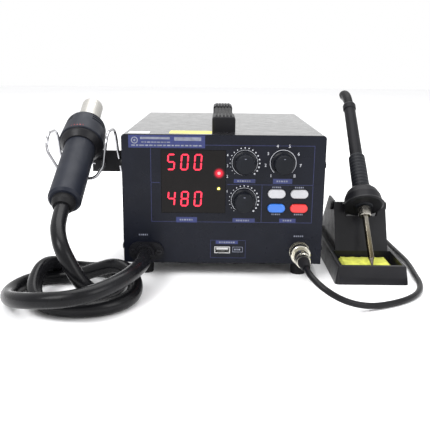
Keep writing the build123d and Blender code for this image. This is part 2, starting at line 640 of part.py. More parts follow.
# ======== the iron's stand ========
STAND_MID_Y = STAND_FRONT + STAND_L / 2
POCKET_W = 57.0
POCKET_FRONT = STAND_FRONT + 6.0
POCKET_L = 44.0
POCKET_Z = 6.5
SPONGE_W = 46.0
SPONGE_L = 40.0
SPONGE_H = 6.0
LEAN_FOOT = 30.0
LEAN_TOP = 52.0
PLATE_TOP_Z = 62.2
WING_BACK = 125.0
WING_TOP_Z = 63.4
STAND_SCREWS = [(STAND_X + dx, FRONT_Y + back) for dx in (-18.5, 18.5) for back in (45.0, 82.0)]

with BuildPart() as stand_base:
    with BuildSketch():
        with Locations((STAND_X, STAND_MID_Y)):
            RectangleRounded(STAND_W, STAND_L, 4)
    extrude(amount=STAND_H, taper=9.4)
    fillet(stand_base.faces().sort_by(Axis.Z)[-1].edges(), 1.5)
    with Locations((STAND_X, POCKET_FRONT + POCKET_L / 2, POCKET_Z)):
        Box(POCKET_W, POCKET_L, STAND_H, align=BOTTOM, mode=Mode.SUBTRACT)
    with Locations((STAND_X, POCKET_FRONT + POCKET_L + 48, 0)):
        Box(POCKET_W, 90, STAND_H - 3, align=BOTTOM, mode=Mode.SUBTRACT)
    with Locations((STAND_X, POCKET_FRONT + POCKET_L / 2, 0)):
        Box(POCKET_W, POCKET_L, POCKET_Z - 2.5, align=BOTTOM, mode=Mode.SUBTRACT)
    with Locations(*[(x, y, 0) for x, y in STAND_SCREWS]):
        Cylinder(1.6, 40, mode=Mode.SUBTRACT)
stand_base.part.label = "stand_base"
export_step(stand_base.part, "parts/stand_base.step")

with BuildPart() as stand_sponge:
    with Locations((STAND_X, POCKET_FRONT + 1.5 + SPONGE_L / 2, POCKET_Z)):
        Box(SPONGE_W, SPONGE_L, SPONGE_H, align=BOTTOM)
    fillet(stand_sponge.edges().filter_by(Axis.Z), 2)
stand_sponge.part.label = "stand_sponge"
export_step(stand_sponge.part, "parts/stand_sponge.step")

PIVOT = (59.0, 57.0)
FLANGE_W = 11.0

with BuildPart() as stand_upright:
    for side in (-1, 1):
        with BuildSketch(Plane(origin=(STAND_X + side * (UPRIGHT_W - UPRIGHT_T) / 2, FRONT_Y, 0),
                               x_dir=(0, 1, 0), z_dir=(1, 0, 0))) as wing:
            with BuildLine():
                Polyline((LEAN_FOOT, STAND_H), (LEAN_TOP + 1, WING_TOP_Z), (LEAN_TOP + 28, WING_TOP_Z),
                         (WING_BACK, STAND_H), close=True)
            make_face()
            fillet(wing.vertices().group_by(Axis.Z)[-1], 5)
        extrude(amount=UPRIGHT_T / 2, both=True)
        with Locations((STAND_X + side * (UPRIGHT_W - FLANGE_W) / 2, FRONT_Y + (LEAN_FOOT + WING_BACK) / 2, STAND_H)):
            Box(FLANGE_W, WING_BACK - LEAN_FOOT - 6, UPRIGHT_T, align=BOTTOM)
    with BuildSketch(Plane(origin=(STAND_X, FRONT_Y, 0), x_dir=(0, 1, 0), z_dir=(1, 0, 0))):
        with BuildLine():
            Polyline((LEAN_FOOT, STAND_H), (LEAN_TOP, PLATE_TOP_Z), (LEAN_TOP + 1.8, PLATE_TOP_Z),
                     (LEAN_FOOT + 1.8, STAND_H), close=True)
        make_face()
    extrude(amount=UPRIGHT_W / 2, both=True)
    with BuildSketch(Plane(origin=along_iron(63.5), x_dir=IRON_SIDE, z_dir=IRON_DIR)):
        Circle(CONE_R + 1.2)
    extrude(amount=36.5, mode=Mode.SUBTRACT)
    with Locations(*[(x, y, STAND_H) for x, y in STAND_SCREWS]):
        Cylinder(1.6, 6, mode=Mode.SUBTRACT)
    with Locations((STAND_X, FRONT_Y + PIVOT[0], PIVOT[1])):
        Cylinder(2.1, UPRIGHT_W + 2, rotation=(0, 90, 0), mode=Mode.SUBTRACT)
stand_upright.part.label = "stand_upright"
export_step(stand_upright.part, "parts/stand_upright.step")

with BuildPart() as holder_cone:
    with BuildSketch(IRON):
        with BuildLine():
            Polyline((66, 0), (66, CONE_R - 2), (67, CONE_R), (69, CONE_R - 1), (76, 18), (82, 15.3), (85, 12.5), (85, 0), close=True)
        make_face()
    revolve(axis=IRON_AXIS)
    with Locations((STAND_X, FRONT_Y + PIVOT[0], PIVOT[1])):
        Box(UPRIGHT_W - 2 * UPRIGHT_T - 0.6, 10, 6)
    with Locations((STAND_X, FRONT_Y + PIVOT[0], PIVOT[1] + 3)):
        Box(24, 10, 12)
    with BuildSketch(Plane(origin=along_iron(50), x_dir=IRON_SIDE, z_dir=IRON_DIR)):
        Circle(COLLAR_R + 0.3)
    extrude(amount=60, mode=Mode.SUBTRACT)
    with Locations((STAND_X, FRONT_Y + PIVOT[0], PIVOT[1])):
        Cylinder(1.9, UPRIGHT_W + 2, rotation=(0, 90, 0), mode=Mode.SUBTRACT)
holder_cone.part.label = "holder_cone"
export_step(holder_cone.part, "parts/holder_cone.step")

# ======== the hot air handset, on its slanted axis ========
with BuildPart() as handset_grip:
    with BuildSketch(HANDSET):
        with BuildLine():
            Polyline((-GRIP_LEN, 8.0), (-GRIP_LEN, GRIP_R - 2), (-GRIP_LEN + 2.5, GRIP_R), (-1, GRIP_R),
                     (-1, GRIP_R - 2.2), (-GRIP_LEN + 3, GRIP_R - 2.2), (-GRIP_LEN + 3, 8.0), close=True)
        make_face()
    revolve(axis=HANDSET_AXIS)
handset_grip.part.label = "handset_grip"
export_step(handset_grip.part, "parts/handset_grip.step")

with BuildPart() as handset_collar:
    with BuildSketch(HANDSET):
        with BuildLine():
            Polyline((-7, GRIP_R + 0.1), (-7, GRIP_R + 1.2), (-2, HEAD_R - 1.6), (0, HEAD_R - 0.8), (0, 13.0),
                     (-0.9, 13.0), (-0.9, GRIP_R + 0.1), close=True)
        make_face()
    revolve(axis=HANDSET_AXIS)
handset_collar.part.label = "handset_collar"
export_step(handset_collar.part, "parts/handset_collar.step")

SLOT_AT = (20.0, 23.5, 27.0)

with BuildPart() as handset_head:
    with BuildSketch(HANDSET):
        with BuildLine():
            Polyline((0.1, 13.2), (0.1, HEAD_R - 0.2), (1.2, HEAD_R + 0.4), (28, HEAD_R - 1.2),
                     (30.5, HEAD_R - 2.0), (HEAD_LEN, HEAD_R - 3.5), (HEAD_LEN, NOZZLE_R + 0.1),
                     (HEAD_LEN - 2.5, NOZZLE_R + 0.1), (HEAD_LEN - 2.5, HEAD_R - 4.5), (2.5, HEAD_R - 2.2),
                     (2.5, 13.2), close=True)
        make_face()
    revolve(axis=HANDSET_AXIS)
    for side in (-1, 1):
        for distance in SLOT_AT:
            with BuildSketch(Plane(origin=along_handset(distance), x_dir=(1, 0, 0), z_dir=HANDSET_DIR)):
                with Locations((side * (HEAD_R - 4), 7 - HEAD_R)):
                    Rectangle(16, 16, rotation=45)
            extrude(amount=1.6, mode=Mode.SUBTRACT)
handset_head.part.label = "handset_head"
export_step(handset_head.part, "parts/handset_head.step")

with BuildPart() as handset_nozzle:
    with BuildSketch(HANDSET):
        with BuildLine():
            Polyline((6, NOZZLE_R - 0.8), (6, NOZZLE_R - 0.3), (HEAD_LEN, NOZZLE_R - 0.3), (HEAD_LEN, NOZZLE_R),
                     (HEAD_LEN + NOZZLE_LEN, NOZZLE_R), (HEAD_LEN + NOZZLE_LEN, NOZZLE_R - 0.8), close=True)
        make_face()
    revolve(axis=HANDSET_AXIS)
handset_nozzle.part.label = "handset_nozzle"
export_step(handset_nozzle.part, "parts/handset_nozzle.step")

with BuildPart() as handset_heater:
    with BuildSketch(HANDSET):
        with BuildLine():
            Polyline((-6, 0), (-6, 10.0), (56, 10.0), (56, 0), close=True)
        make_face()
    revolve(axis=HANDSET_AXIS)
    for i in range(6):
        with BuildSketch(Plane(origin=along_handset(60), x_dir=(1, 0, 0), z_dir=HANDSET_DIR)):
            with Locations((6 * cos(pi * i / 3), 6 * sin(pi * i / 3))):
                Circle(2.1)
        extrude(amount=-80, mode=Mode.SUBTRACT)
handset_heater.part.label = "handset_heater"
export_step(handset_heater.part, "parts/handset_heater.step")

BOOT_LEN = 9.0

with BuildPart() as handset_boot:
    with BuildSketch(HANDSET):
        with BuildLine():
            Polyline((-GRIP_LEN - BOOT_LEN, HOSE_R + 0.05), (-GRIP_LEN - BOOT_LEN, HOSE_R + 1.6),
                     (-GRIP_LEN - 5, 10.2), (-GRIP_LEN - 0.1, 10.8), (-GRIP_LEN - 0.1, 7.9), (-GRIP_LEN + 4, 7.9),
                     (-GRIP_LEN + 4, 5.0), (-GRIP_LEN - 2, 5.0), (-GRIP_LEN - 2, HOSE_R + 0.05), close=True)
        make_face()
    revolve(axis=HANDSET_AXIS)
handset_boot.part.label = "handset_boot"
export_step(handset_boot.part, "parts/handset_boot.step")

# ======== the cradle on the unit's left side ========
PLATE_BACK = 88.2
PLATE_T = 1.5
PLATE_H = 22.6
WIRE_BACK = PLATE_BACK - WIRE_R - 0.1
WIRE_POINTS = [place(*point) for point in (
    (-107, WIRE_BACK, 84.9), (-110, WIRE_BACK - 1, 104), (-112, 80, 131.5), (-113, 40, 131.5), (-116, 31, 100),
    (-124, 28, 88.3), (-154, 28, 88.3), (-171.7, 37.3, 113.4), (-171.7, 40, 129.5), (-171.7, 80, 129.5),
    (-170, 83, 101), (-158, WIRE_BACK, 94), (-124, WIRE_BACK, 94))]
WIRE_RADII = [20, 16, 16, 10, 10, 10, 14, 14, 14, 8, 8]

with BuildPart() as holder_wire:
    with BuildLine() as route:
        FilletPolyline(*WIRE_POINTS, radius=WIRE_RADII)
    with BuildSketch(Plane(origin=WIRE_POINTS[0], z_dir=Vector(*WIRE_POINTS[1]) - Vector(*WIRE_POINTS[0]))):
        Circle(WIRE_R)
    sweep(path=route.line)
holder_wire.part.label = "holder_wire"
export_step(holder_wire.part, "parts/holder_wire.step")

with BuildPart() as holder_bracket:
    with Locations(place(-138, PLATE_BACK, BRACKET_Z)):
        Box(138 - WALL_X, PLATE_T, PLATE_H, align=(Align.MIN, Align.MIN, Align.CENTER))
    with Locations(place(-WALL_X, PLATE_BACK, BRACKET_Z)):
        Box(PLATE_T, 32, PLATE_H, align=(Align.MAX, Align.MIN, Align.CENTER))
    fillet(holder_bracket.edges().filter_by(Axis.X).group_by(Axis.Y)[0], 0.5)
    with Locations(place(-107, PLATE_BACK, 95), place(-130, PLATE_BACK, 94)):
        Box(8, 4.2, 7, align=(Align.CENTER, Align.MAX, Align.CENTER))
    add(holder_wire.part, mode=Mode.SUBTRACT)
    with Locations(*[place(-WALL_X, back, BRACKET_Z) for back in BRACKET_SCREW_BACK]):
        Cylinder(1.6, 8, rotation=(0, 90, 0), mode=Mode.SUBTRACT)
holder_bracket.part.label = "holder_bracket"
export_step(holder_bracket.part, "parts/holder_bracket.step")

# ======== the hose and its gland ========
GLAND_SCREW_X = (GLAND_X - 12.3, GLAND_X + 12.3)

with BuildPart() as hose_gland:
    with BuildSketch(facing(0)):
        with Locations((GLAND_X, GLAND_Z)):
            SlotOverall(33, 18)
    extrude(amount=3)
    with Locations((GLAND_X, FRONT_Y - 6, GLAND_Z)):
        Cylinder(8.8, 12, rotation=(90, 0, 0))
    with Locations((GLAND_X, FRONT_Y + 8, GLAND_Z)):
        Cylinder(7.2, 16, rotation=(90, 0, 0))
    with Locations((GLAND_X, FRONT_Y - 9, GLAND_Z)):
        Cylinder(HOSE_R + 0.15, 12, rotation=(90, 0, 0), mode=Mode.SUBTRACT)
    with Locations((GLAND_X, FRONT_Y, GLAND_Z)):
        Cylinder(5.0, 60, rotation=(90, 0, 0), mode=Mode.SUBTRACT)
    with Locations(*[(x, FRONT_Y, GLAND_Z) for x in GLAND_SCREW_X]):
        Cylinder(1.6, 10, rotation=(90, 0, 0), mode=Mode.SUBTRACT)
hose_gland.part.label = "hose_gland"
export_step(hose_gland.part, "parts/hose_gland.step")

HOSE_TOP = along_handset(-GRIP_LEN - 2.2)
HOSE_ROUTE = [place(*point) for point in (
    (-123.5, -81.5, 34.5), (-116, -83.2, 21), (-106, -76, 11), (-97, -63, 7.3), (-91, -47, 7), (-90.5, -29, 7),
    (-98, -13, 7), (-112, -4, 7.2), (-127, -6, 8), (-141, -14, 12.5), (-153, -25, 21), (-159, -41, 23),
    (-161, -58, 17), (-158, -76, 11), (-149, -90, 7.5), (-134, -99, 7), (-115, -102, 7), (-97, -98, 7),
    (-83, -87, 7), (-75, -71, 7.5), (-75, -55, 12), (-83, -42, 20), (-97, -34, 22), (-113, -30, 16),
    (-129, -27, 9.5), (-146, -24.5, 7), (-162, -27, 7), (-174.5, -38, 7), (-181, -54, 7), (-181, -72, 8),
    (-174, -90, 11), (-160, -106, 16), (-142, -116, 20), (-120, -119, 22.5), (-102, -112, 24.5),
    (-88, -98, 26.5), (-78, -81, 28), (-72, -62, 28.8), (-70, -43, 27), (-71.6, -23, 24.6), (-72, -3.2, 24.6))]
HOSE_RISE = [HOSE_ROUTE[0], place(-131, -79.8, 48), place(-137, -68, 58.5), place(-140.4, -53.8, 66.2), tuple(HOSE_TOP)]

with BuildPart() as hose:
    with BuildLine() as route:
        FilletPolyline(*HOSE_ROUTE, radius=corner_radii(HOSE_ROUTE))
    with BuildSketch(Plane(origin=HOSE_ROUTE[0], z_dir=Vector(*HOSE_ROUTE[1]) - Vector(*HOSE_ROUTE[0]))):
        Circle(HOSE_R)
    sweep(path=route.line)
hose.part.label = "hose"
export_step(hose.part, "parts/hose.step")
tube_check("hose", hose.part, HOSE_ROUTE, HOSE_R)

with BuildPart() as hose_rise:
    with BuildLine() as route:
        FilletPolyline(*HOSE_RISE, radius=corner_radii(HOSE_RISE))
    with BuildSketch(Plane(origin=HOSE_RISE[0], z_dir=Vector(*HOSE_RISE[1]) - Vector(*HOSE_RISE[0]))):
        Circle(HOSE_R)
    sweep(path=route.line)
hose_rise.part.label = "hose_rise"
export_step(hose_rise.part, "parts/hose_rise.step")
tube_check("hose_rise", hose_rise.part, HOSE_RISE, HOSE_R)

# ======== inside: the air pump, the transformer and the mains inlet ========
PUMP_Z = 20.0
POST_X = 17.0
POST_DY = -45.0
ARM_Z = 28.0
ARM_H = 24.0

with BuildPart() as pump_base:
    with Locations((PUMP_X, PUMP_Y, PUMP_Z)):
        Box(84, 110, 4, align=BOTTOM)
    with Locations(*[(PUMP_X + side * POST_X, PUMP_Y + POST_DY, PUMP_Z) for side in (-1, 1)]):
        Cylinder(3, 36, align=BOTTOM)
    with Locations(*[(PUMP_X + side * 35, PUMP_Y - 10, PUMP_Z) for side in (-1, 1)]):
        Box(12, 36, 36, align=BOTTOM)
    with Locations(*[(x, y, PUMP_Z) for x, y in PUMP_FEET]):
        Cylinder(1.6, 20, mode=Mode.SUBTRACT)
pump_base.part.label = "pump_base"
export_step(pump_base.part, "parts/pump_base.step")

with BuildPart() as pump_mounts:
    with Locations(*[(x, y, FLOOR_Z) for x, y in PUMP_FEET]):
        Cylinder(6, PUMP_Z - FLOOR_Z, align=BOTTOM)
        Cylinder(1.6, PUMP_Z - FLOOR_Z, align=BOTTOM, mode=Mode.SUBTRACT)
pump_mounts.part.label = "pump_mounts"
export_step(pump_mounts.part, "parts/pump_mounts.step")

with BuildPart() as pump_electromagnet:
    with Locations((PUMP_X, PUMP_Y + 17, PUMP_Z + 4)):
        Box(16, 50, 30, align=BOTTOM)
    with Locations((PUMP_X, PUMP_Y + 17, PUMP_Z + 8)):
        Box(23, 18, 24, align=BOTTOM)
pump_electromagnet.part.label = "pump_electromagnet"
export_step(pump_electromagnet.part, "parts/pump_electromagnet.step")

for name, side in (("left", -1), ("right", 1)):
    with BuildPart() as pump_arm:
        with Locations((PUMP_X + side * POST_X, PUMP_Y + POST_DY, ARM_Z)):
            Cylinder(5, ARM_H, align=BOTTOM)
        with Locations((PUMP_X + side * POST_X, PUMP_Y + POST_DY, ARM_Z)):
            Box(3, 72, ARM_H, align=(Align.CENTER, Align.MIN, Align.MIN))
        with Locations((PUMP_X + side * POST_X, PUMP_Y + 17, ARM_Z + 4)):
            Box(5, 16, 16, align=BOTTOM)
        with Locations((PUMP_X + side * POST_X, PUMP_Y + POST_DY, ARM_Z)):
            Cylinder(3.06, ARM_H, align=BOTTOM, mode=Mode.SUBTRACT)
    pump_arm.part.label = "pump_arm_" + name
    export_step(pump_arm.part, "parts/pump_arm_" + name + ".step")

with BuildPart() as pump_bellows:
    for side in (-1, 1):
        with Locations((PUMP_X + side * 25.5, PUMP_Y - 10, PUMP_Z + 20)):
            Cylinder(13, 7, rotation=(0, 90, 0))
            Cylinder(14.5, 2, rotation=(0, 90, 0))
pump_bellows.part.label = "pump_bellows"
export_step(pump_bellows.part, "parts/pump_bellows.step")

AIR_ROUTE = [place(-72, 16, 24.6), place(-72, 40, 25.5), place(-75, 62, 31), place(-79, 84, 37.5), place(-79, 111.5, 38)]

with BuildPart() as air_tube:
    with BuildLine() as route:
        FilletPolyline(*AIR_ROUTE, radius=corner_radii(AIR_ROUTE))
    with BuildSketch(Plane(origin=AIR_ROUTE[0], z_dir=Vector(*AIR_ROUTE[1]) - Vector(*AIR_ROUTE[0]))):
        Circle(4.9)
    sweep(path=route.line)
air_tube.part.label = "air_tube"
export_step(air_tube.part, "parts/air_tube.step")

with BuildPart() as transformer:
    with Locations((CORE_X, CORE_Y, FLOOR_Z + 2)):
        Box(58, 24, 48, align=BOTTOM)
    with Locations((CORE_X, CORE_Y, FLOOR_Z + 12)):
        Box(38, 42, 28, align=BOTTOM)
    with Locations((CORE_X, CORE_Y, FLOOR_Z)):
        Box(78, 22, 2, align=BOTTOM)
    with Locations(*[(x, y, FLOOR_Z) for x, y in CORE_FEET]):
        Cylinder(1.6, 20, mode=Mode.SUBTRACT)
transformer.part.label = "transformer"
export_step(transformer.part, "parts/transformer.step")

DRAWER_Z = INLET_Z - 11.0
CAVITY_Z = INLET_Z + 5.5

with BuildPart() as mains_inlet:
    with Locations((INLET_X, BACK_Y - 26, INLET_Z)):
        Box(INLET_W, 26, INLET_H, align=FRONT_FACE)
    with Locations((INLET_X, BACK_Y, INLET_Z)):
        Box(INLET_W + 4.4, 2.5, INLET_H + 5, align=FRONT_FACE)
    fillet(mains_inlet.edges().filter_by(Axis.Y).group_by(Axis.Z)[-1], 2)
    with Locations((INLET_X, BACK_Y + 2.5, CAVITY_Z)):
        Box(24, 17, 16.4, align=(Align.CENTER, Align.MAX, Align.CENTER), mode=Mode.SUBTRACT)
    with Locations((INLET_X, BACK_Y + 2.5, DRAWER_Z)):
        Box(22, 22, 9, align=(Align.CENTER, Align.MAX, Align.CENTER), mode=Mode.SUBTRACT)
    for x, z in ((-7, -2), (7, -2), (0, 3)):
        with Locations((INLET_X + x, BACK_Y - 14.5, CAVITY_Z + z)):
            Box(2, 10, 4, align=FRONT_FACE)
mains_inlet.part.label = "mains_inlet"
export_step(mains_inlet.part, "parts/mains_inlet.step")

with BuildPart() as fuse_drawer:
    with Locations((INLET_X, BACK_Y + 2.3, DRAWER_Z)):
        Box(21.4, 21, 8.4, align=(Align.CENTER, Align.MAX, Align.CENTER))
    with Locations((INLET_X, BACK_Y + 2.7, DRAWER_Z)):
        Box(24, 1.2, 10.4, align=FRONT_FACE)
        Box(21.4, 0.4, 8.4, align=(Align.CENTER, Align.MAX, Align.CENTER))
    with Locations((INLET_X, BACK_Y - 9, DRAWER_Z + 1.4)):
        Box(20.2, 5.4, 8.4, mode=Mode.SUBTRACT)
    with Locations((INLET_X, BACK_Y - 9, DRAWER_Z + 0.2)):
        Cylinder(2.5, 19.6, rotation=(0, 90, 0))
fuse_drawer.part.label = "fuse_drawer"
export_step(fuse_drawer.part, "parts/fuse_drawer.step")

# the M3 pan head screws of the unit: where each head sits, and which way its shank points; then the stand's screws
SCREWS = [(place(side * WALL_X, back, up), (-side, 0, 0)) for side in (-1, 1) for back in TAB_BACK for up in TAB_Z]
SCREWS += [((x, y, 8), (0, 0, 1)) for x, y, z in FEET]
SCREWS += [((x, y, FOOT_H), (0, 0, 1)) for x, y in PUMP_FEET + CORE_FEET]
SCREWS += [(place(0, back, TOP_Z - SHEET), (0, 0, 1)) for back in HANDLE_BACK]
SCREWS += [((x, FRONT_Y - 3, GLAND_Z), (0, 1, 0)) for x in GLAND_SCREW_X]
SCREWS += [(place(-WALL_X - PLATE_T, back, BRACKET_Z), (1, 0, 0)) for back in BRACKET_SCREW_BACK]
HEAD_T = 1.8

with BuildPart() as machine_screws:
    for seat, direction in SCREWS:
        with BuildSketch(Plane(origin=seat, z_dir=direction)):
            Circle(2.8)
        extrude(amount=-HEAD_T)
        with BuildSketch(Plane(origin=seat, z_dir=direction)):
            Circle(1.45)
        extrude(amount=5.0 if seat[2] < TOP_Z - 2 * SHEET else 4.4)
        with BuildSketch(Plane(origin=Vector(*seat) - Vector(*direction) * HEAD_T, z_dir=direction)):
            Rectangle(3.4, 0.7)
            Rectangle(0.7, 3.4)
        extrude(amount=0.9, mode=Mode.SUBTRACT)
    with Locations(*[(x, y, STAND_H + UPRIGHT_T) for x, y in STAND_SCREWS]):
        Cylinder(2.8, HEAD_T, align=BOTTOM)
        Cylinder(1.5, 6, align=(Align.CENTER, Align.CENTER, Align.MAX))
    for side in (-1, 1):
        with Locations((STAND_X + side * (UPRIGHT_W / 2 + 1.2), FRONT_Y + PIVOT[0], PIVOT[1])):
            Cylinder(4.2, 2.4, rotation=(0, 90, 0))
        with Locations((STAND_X + side * (UPRIGHT_W / 2 - 5), FRONT_Y + PIVOT[0], PIVOT[1])):
            Cylinder(1.85, 10, rotation=(0, 90, 0))
machine_screws.part.label = "machine_screws"
export_step(machine_screws.part, "parts/machine_screws.step")
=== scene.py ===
"""Looks of the two-in-one rework station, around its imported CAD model. Lengths in place() are millimetres."""
from math import cos, pi, radians, sin, tau

import bmesh
import bpy
from mathutils import Matrix, Vector


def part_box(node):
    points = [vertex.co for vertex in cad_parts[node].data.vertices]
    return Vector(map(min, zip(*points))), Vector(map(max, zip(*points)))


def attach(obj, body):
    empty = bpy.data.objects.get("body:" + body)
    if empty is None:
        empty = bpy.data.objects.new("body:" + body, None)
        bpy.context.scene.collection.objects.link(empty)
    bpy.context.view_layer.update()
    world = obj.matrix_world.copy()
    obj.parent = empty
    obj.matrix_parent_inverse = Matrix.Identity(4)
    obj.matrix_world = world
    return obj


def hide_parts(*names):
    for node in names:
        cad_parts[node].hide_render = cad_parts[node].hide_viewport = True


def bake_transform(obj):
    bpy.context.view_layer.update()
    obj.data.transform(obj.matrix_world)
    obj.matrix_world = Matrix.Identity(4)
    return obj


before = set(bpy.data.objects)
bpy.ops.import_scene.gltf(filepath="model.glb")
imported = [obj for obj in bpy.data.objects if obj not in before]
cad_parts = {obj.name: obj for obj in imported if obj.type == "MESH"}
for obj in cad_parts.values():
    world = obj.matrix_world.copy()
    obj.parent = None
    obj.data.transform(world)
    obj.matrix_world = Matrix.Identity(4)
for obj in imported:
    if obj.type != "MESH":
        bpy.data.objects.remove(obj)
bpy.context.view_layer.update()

MM = 0.001
FRONT_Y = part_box("front_overlay")[0].y


def place(across, back, up):
    """A point across from the unit's middle, back from the panel's face and up from the bench, in mm."""
    return Vector((across * MM, FRONT_Y + back * MM, up * MM))


# ======== camera, floor and light ========
def camera_at(position, yaw, pitch, roll, lens):
    """A camera at position that looks along +Y, turned by yaw, down by pitch and rolled, in degrees."""
    yaw, pitch, roll = radians(yaw), radians(pitch), radians(roll)
    forward = Vector((sin(yaw) * cos(pitch), cos(yaw) * cos(pitch), -sin(pitch)))
    level = Vector((cos(yaw), -sin(yaw), 0))
    upright = level.cross(forward)
    right = cos(roll) * level + sin(roll) * upright
    up = -sin(roll) * level + cos(roll) * upright
    data = bpy.data.cameras.new("camera")
    data.lens = lens
    data.sensor_width = 36.0
    camera = bpy.data.objects.new("camera", data)
    bpy.context.scene.collection.objects.link(camera)
    turn = Matrix((right, up, -forward)).transposed()
    camera.matrix_world = Matrix.Translation(position) @ turn.to_4x4()
    bpy.context.scene.camera = camera


def area_light(name, position, target, size, power):
    """A square soft light at position that faces target."""
    data = bpy.data.lights.new(name, "AREA")
    data.size = size
    data.energy = power
    lamp = bpy.data.objects.new(name, data)
    bpy.context.scene.collection.objects.link(lamp)
    lamp.location = position
    lamp.rotation_euler = (target - position).to_track_quat("-Z", "Y").to_euler()


camera_at(place(-5.6, -556.5, 201.1), yaw=-0.18, pitch=14.2, roll=0.58, lens=51.43)
AIM = place(0, 80, 70)
area_light("key", Vector((-0.9, -1.1, 1.5)), AIM, 0.9, 26.0)
area_light("fill", Vector((1.2, -0.9, 0.9)), AIM, 0.9, 10.0)
area_light("top", Vector((0.0, 0.4, 1.6)), AIM, 1.4, 22.0)

world = bpy.data.worlds.new("studio")
bpy.context.scene.world = world
world.use_nodes = True
world.node_tree.nodes["Background"].inputs["Color"].default_value = (1, 1, 1, 1)
world.node_tree.nodes["Background"].inputs["Strength"].default_value = 1.0
bpy.context.scene.view_settings.view_transform = "Standard"


# ======== materials ========
def noise(mat, scale, detail=3.0, stretch=(1, 1, 1)):
    """A noise texture over the object's own coordinates, with features 1/scale metres wide."""
    nodes, links = mat.node_tree.nodes, mat.node_tree.links
    coords = nodes.new("ShaderNodeTexCoord")
    mapping = nodes.new("ShaderNodeMapping")
    mapping.inputs["Scale"].default_value = stretch
    texture = nodes.new("ShaderNodeTexNoise")
    texture.inputs["Scale"].default_value = scale
    texture.inputs["Detail"].default_value = detail
    links.new(coords.outputs["Object"], mapping.inputs["Vector"])
    links.new(mapping.outputs["Vector"], texture.inputs["Vector"])
    return texture.outputs["Fac"]


def spread(mat, value, low, high):
    """The 0.3 to 0.7 range of value, mapped to low to high."""
    node = mat.node_tree.nodes.new("ShaderNodeMapRange")
    node.inputs["From Min"].default_value = 0.3
    node.inputs["From Max"].default_value = 0.7
    node.inputs["To Min"].default_value = low
    node.inputs["To Max"].default_value = high
    mat.node_tree.links.new(value, node.inputs["Value"])
    return node.outputs["Result"]


def ramp(mat, value, stops):
    """A colour ramp over value, from a list of (place, colour)."""
    node = mat.node_tree.nodes.new("ShaderNodeValToRGB")
    elements = node.color_ramp.elements
    while len(elements) < len(stops):
        elements.new(0.5)
    for element, (at, colour) in zip(elements, stops):
        element.position = at
        element.color = (*colour, 1)
    mat.node_tree.links.new(value, node.inputs["Fac"])
    return node.outputs["Color"]


def bump(mat, height, depth, strength=1.0):
    """Raises the shader's normal by height times depth metres."""
    nodes, links = mat.node_tree.nodes, mat.node_tree.links
    node = nodes.new("ShaderNodeBump")
    node.inputs["Strength"].default_value = strength
    node.inputs["Distance"].default_value = depth
    links.new(height, node.inputs["Height"])
    links.new(node.outputs["Normal"], nodes["Principled BSDF"].inputs["Normal"])


DARK_COLOUR = 0.06
DARK_SPECULAR = 0.15


def finish(name, colour, rough, metal=0.0, vary=0.15, patch=45.0, grain=2500.0, depth=0.00002,
           rough_vary=0.06, coat=0.0, stretch=(1, 1, 1)):
    """A procedural material: a base colour that drifts by vary in patches, uneven gloss and a fine grain.

    Dark paints and plastics get a weaker reflection, so that they stay black in the white surroundings.
    """
    mat = bpy.data.materials.new(name)
    mat.use_nodes = True
    links = mat.node_tree.links
    shader = mat.node_tree.nodes["Principled BSDF"]
    shader.inputs["Metallic"].default_value = metal
    if not metal and max(colour) < DARK_COLOUR:
        shader.inputs["Specular IOR Level"].default_value = DARK_SPECULAR
    if coat:
        shader.inputs["Coat Weight"].default_value = coat
        shader.inputs["Coat Roughness"].default_value = 0.08
    dark = tuple(c * (1 - vary) for c in colour)
    light = tuple(min(1.0, c * (1 + vary)) for c in colour)
    links.new(ramp(mat, noise(mat, patch), [(0.35, dark), (0.65, light)]), shader.inputs["Base Color"])
    uneven = spread(mat, noise(mat, patch * 2.2, 5.0), max(0.02, rough - rough_vary), rough + rough_vary)
    links.new(uneven, shader.inputs["Roughness"])
    bump(mat, noise(mat, grain, 2.0, stretch), depth)
    return mat


def glowing(name, colour, strength):
    """A light-emitting material with a faintly uneven brightness."""
    mat = finish(name, colour, 0.3)
    shader = mat.node_tree.nodes["Principled BSDF"]
    shader.inputs["Emission Color"].default_value = (*colour, 1)
    glow = spread(mat, noise(mat, 900.0), strength * 0.9, strength * 1.1)
    mat.node_tree.links.new(glow, shader.inputs["Emission Strength"])
    return mat


def along(mat, direction, origin, length):
    """How far each point lies along direction from origin, as a share of length."""
    nodes, links = mat.node_tree.nodes, mat.node_tree.links
    coords = nodes.new("ShaderNodeTexCoord")
    offset = nodes.new("ShaderNodeVectorMath")
    offset.operation = "SUBTRACT"
    offset.inputs[1].default_value = origin
    dot = nodes.new("ShaderNodeVectorMath")
    dot.operation = "DOT_PRODUCT"
    dot.inputs[1].default_value = Vector(direction) / length
    links.new(coords.outputs["Object"], offset.inputs[0])
    links.new(offset.outputs["Vector"], dot.inputs[0])
    return dot.outputs["Value"]


def ridges(mat, share, count):
    """Evenly spaced rounded ridges over a share from along(): count of them from 0 to 1."""
    nodes, links = mat.node_tree.nodes, mat.node_tree.links
    scaled = nodes.new("ShaderNodeMath")
    scaled.operation = "MULTIPLY"
    scaled.inputs[1].default_value = count * tau
    wave = nodes.new("ShaderNodeMath")
    wave.operation = "SINE"
    links.new(share, scaled.inputs[0])
    links.new(scaled.outputs[0], wave.inputs[0])
    return wave.outputs[0]


HANDSET_TILT = radians(27)
HANDSET_DIR = Vector((0, cos(HANDSET_TILT), sin(HANDSET_TILT)))
HANDSET_UP = Vector((0, -sin(HANDSET_TILT), cos(HANDSET_TILT)))
HANDSET_RIM = place(-140.4, 48, 118)
IRON_TILT = radians(46)
IRON_YAW = radians(1.3)
IRON_DIR = Vector((-sin(IRON_YAW) * cos(IRON_TILT), cos(IRON_YAW) * cos(IRON_TILT), sin(IRON_TILT)))
IRON_TIP = place(141, -8.8, 13.5)

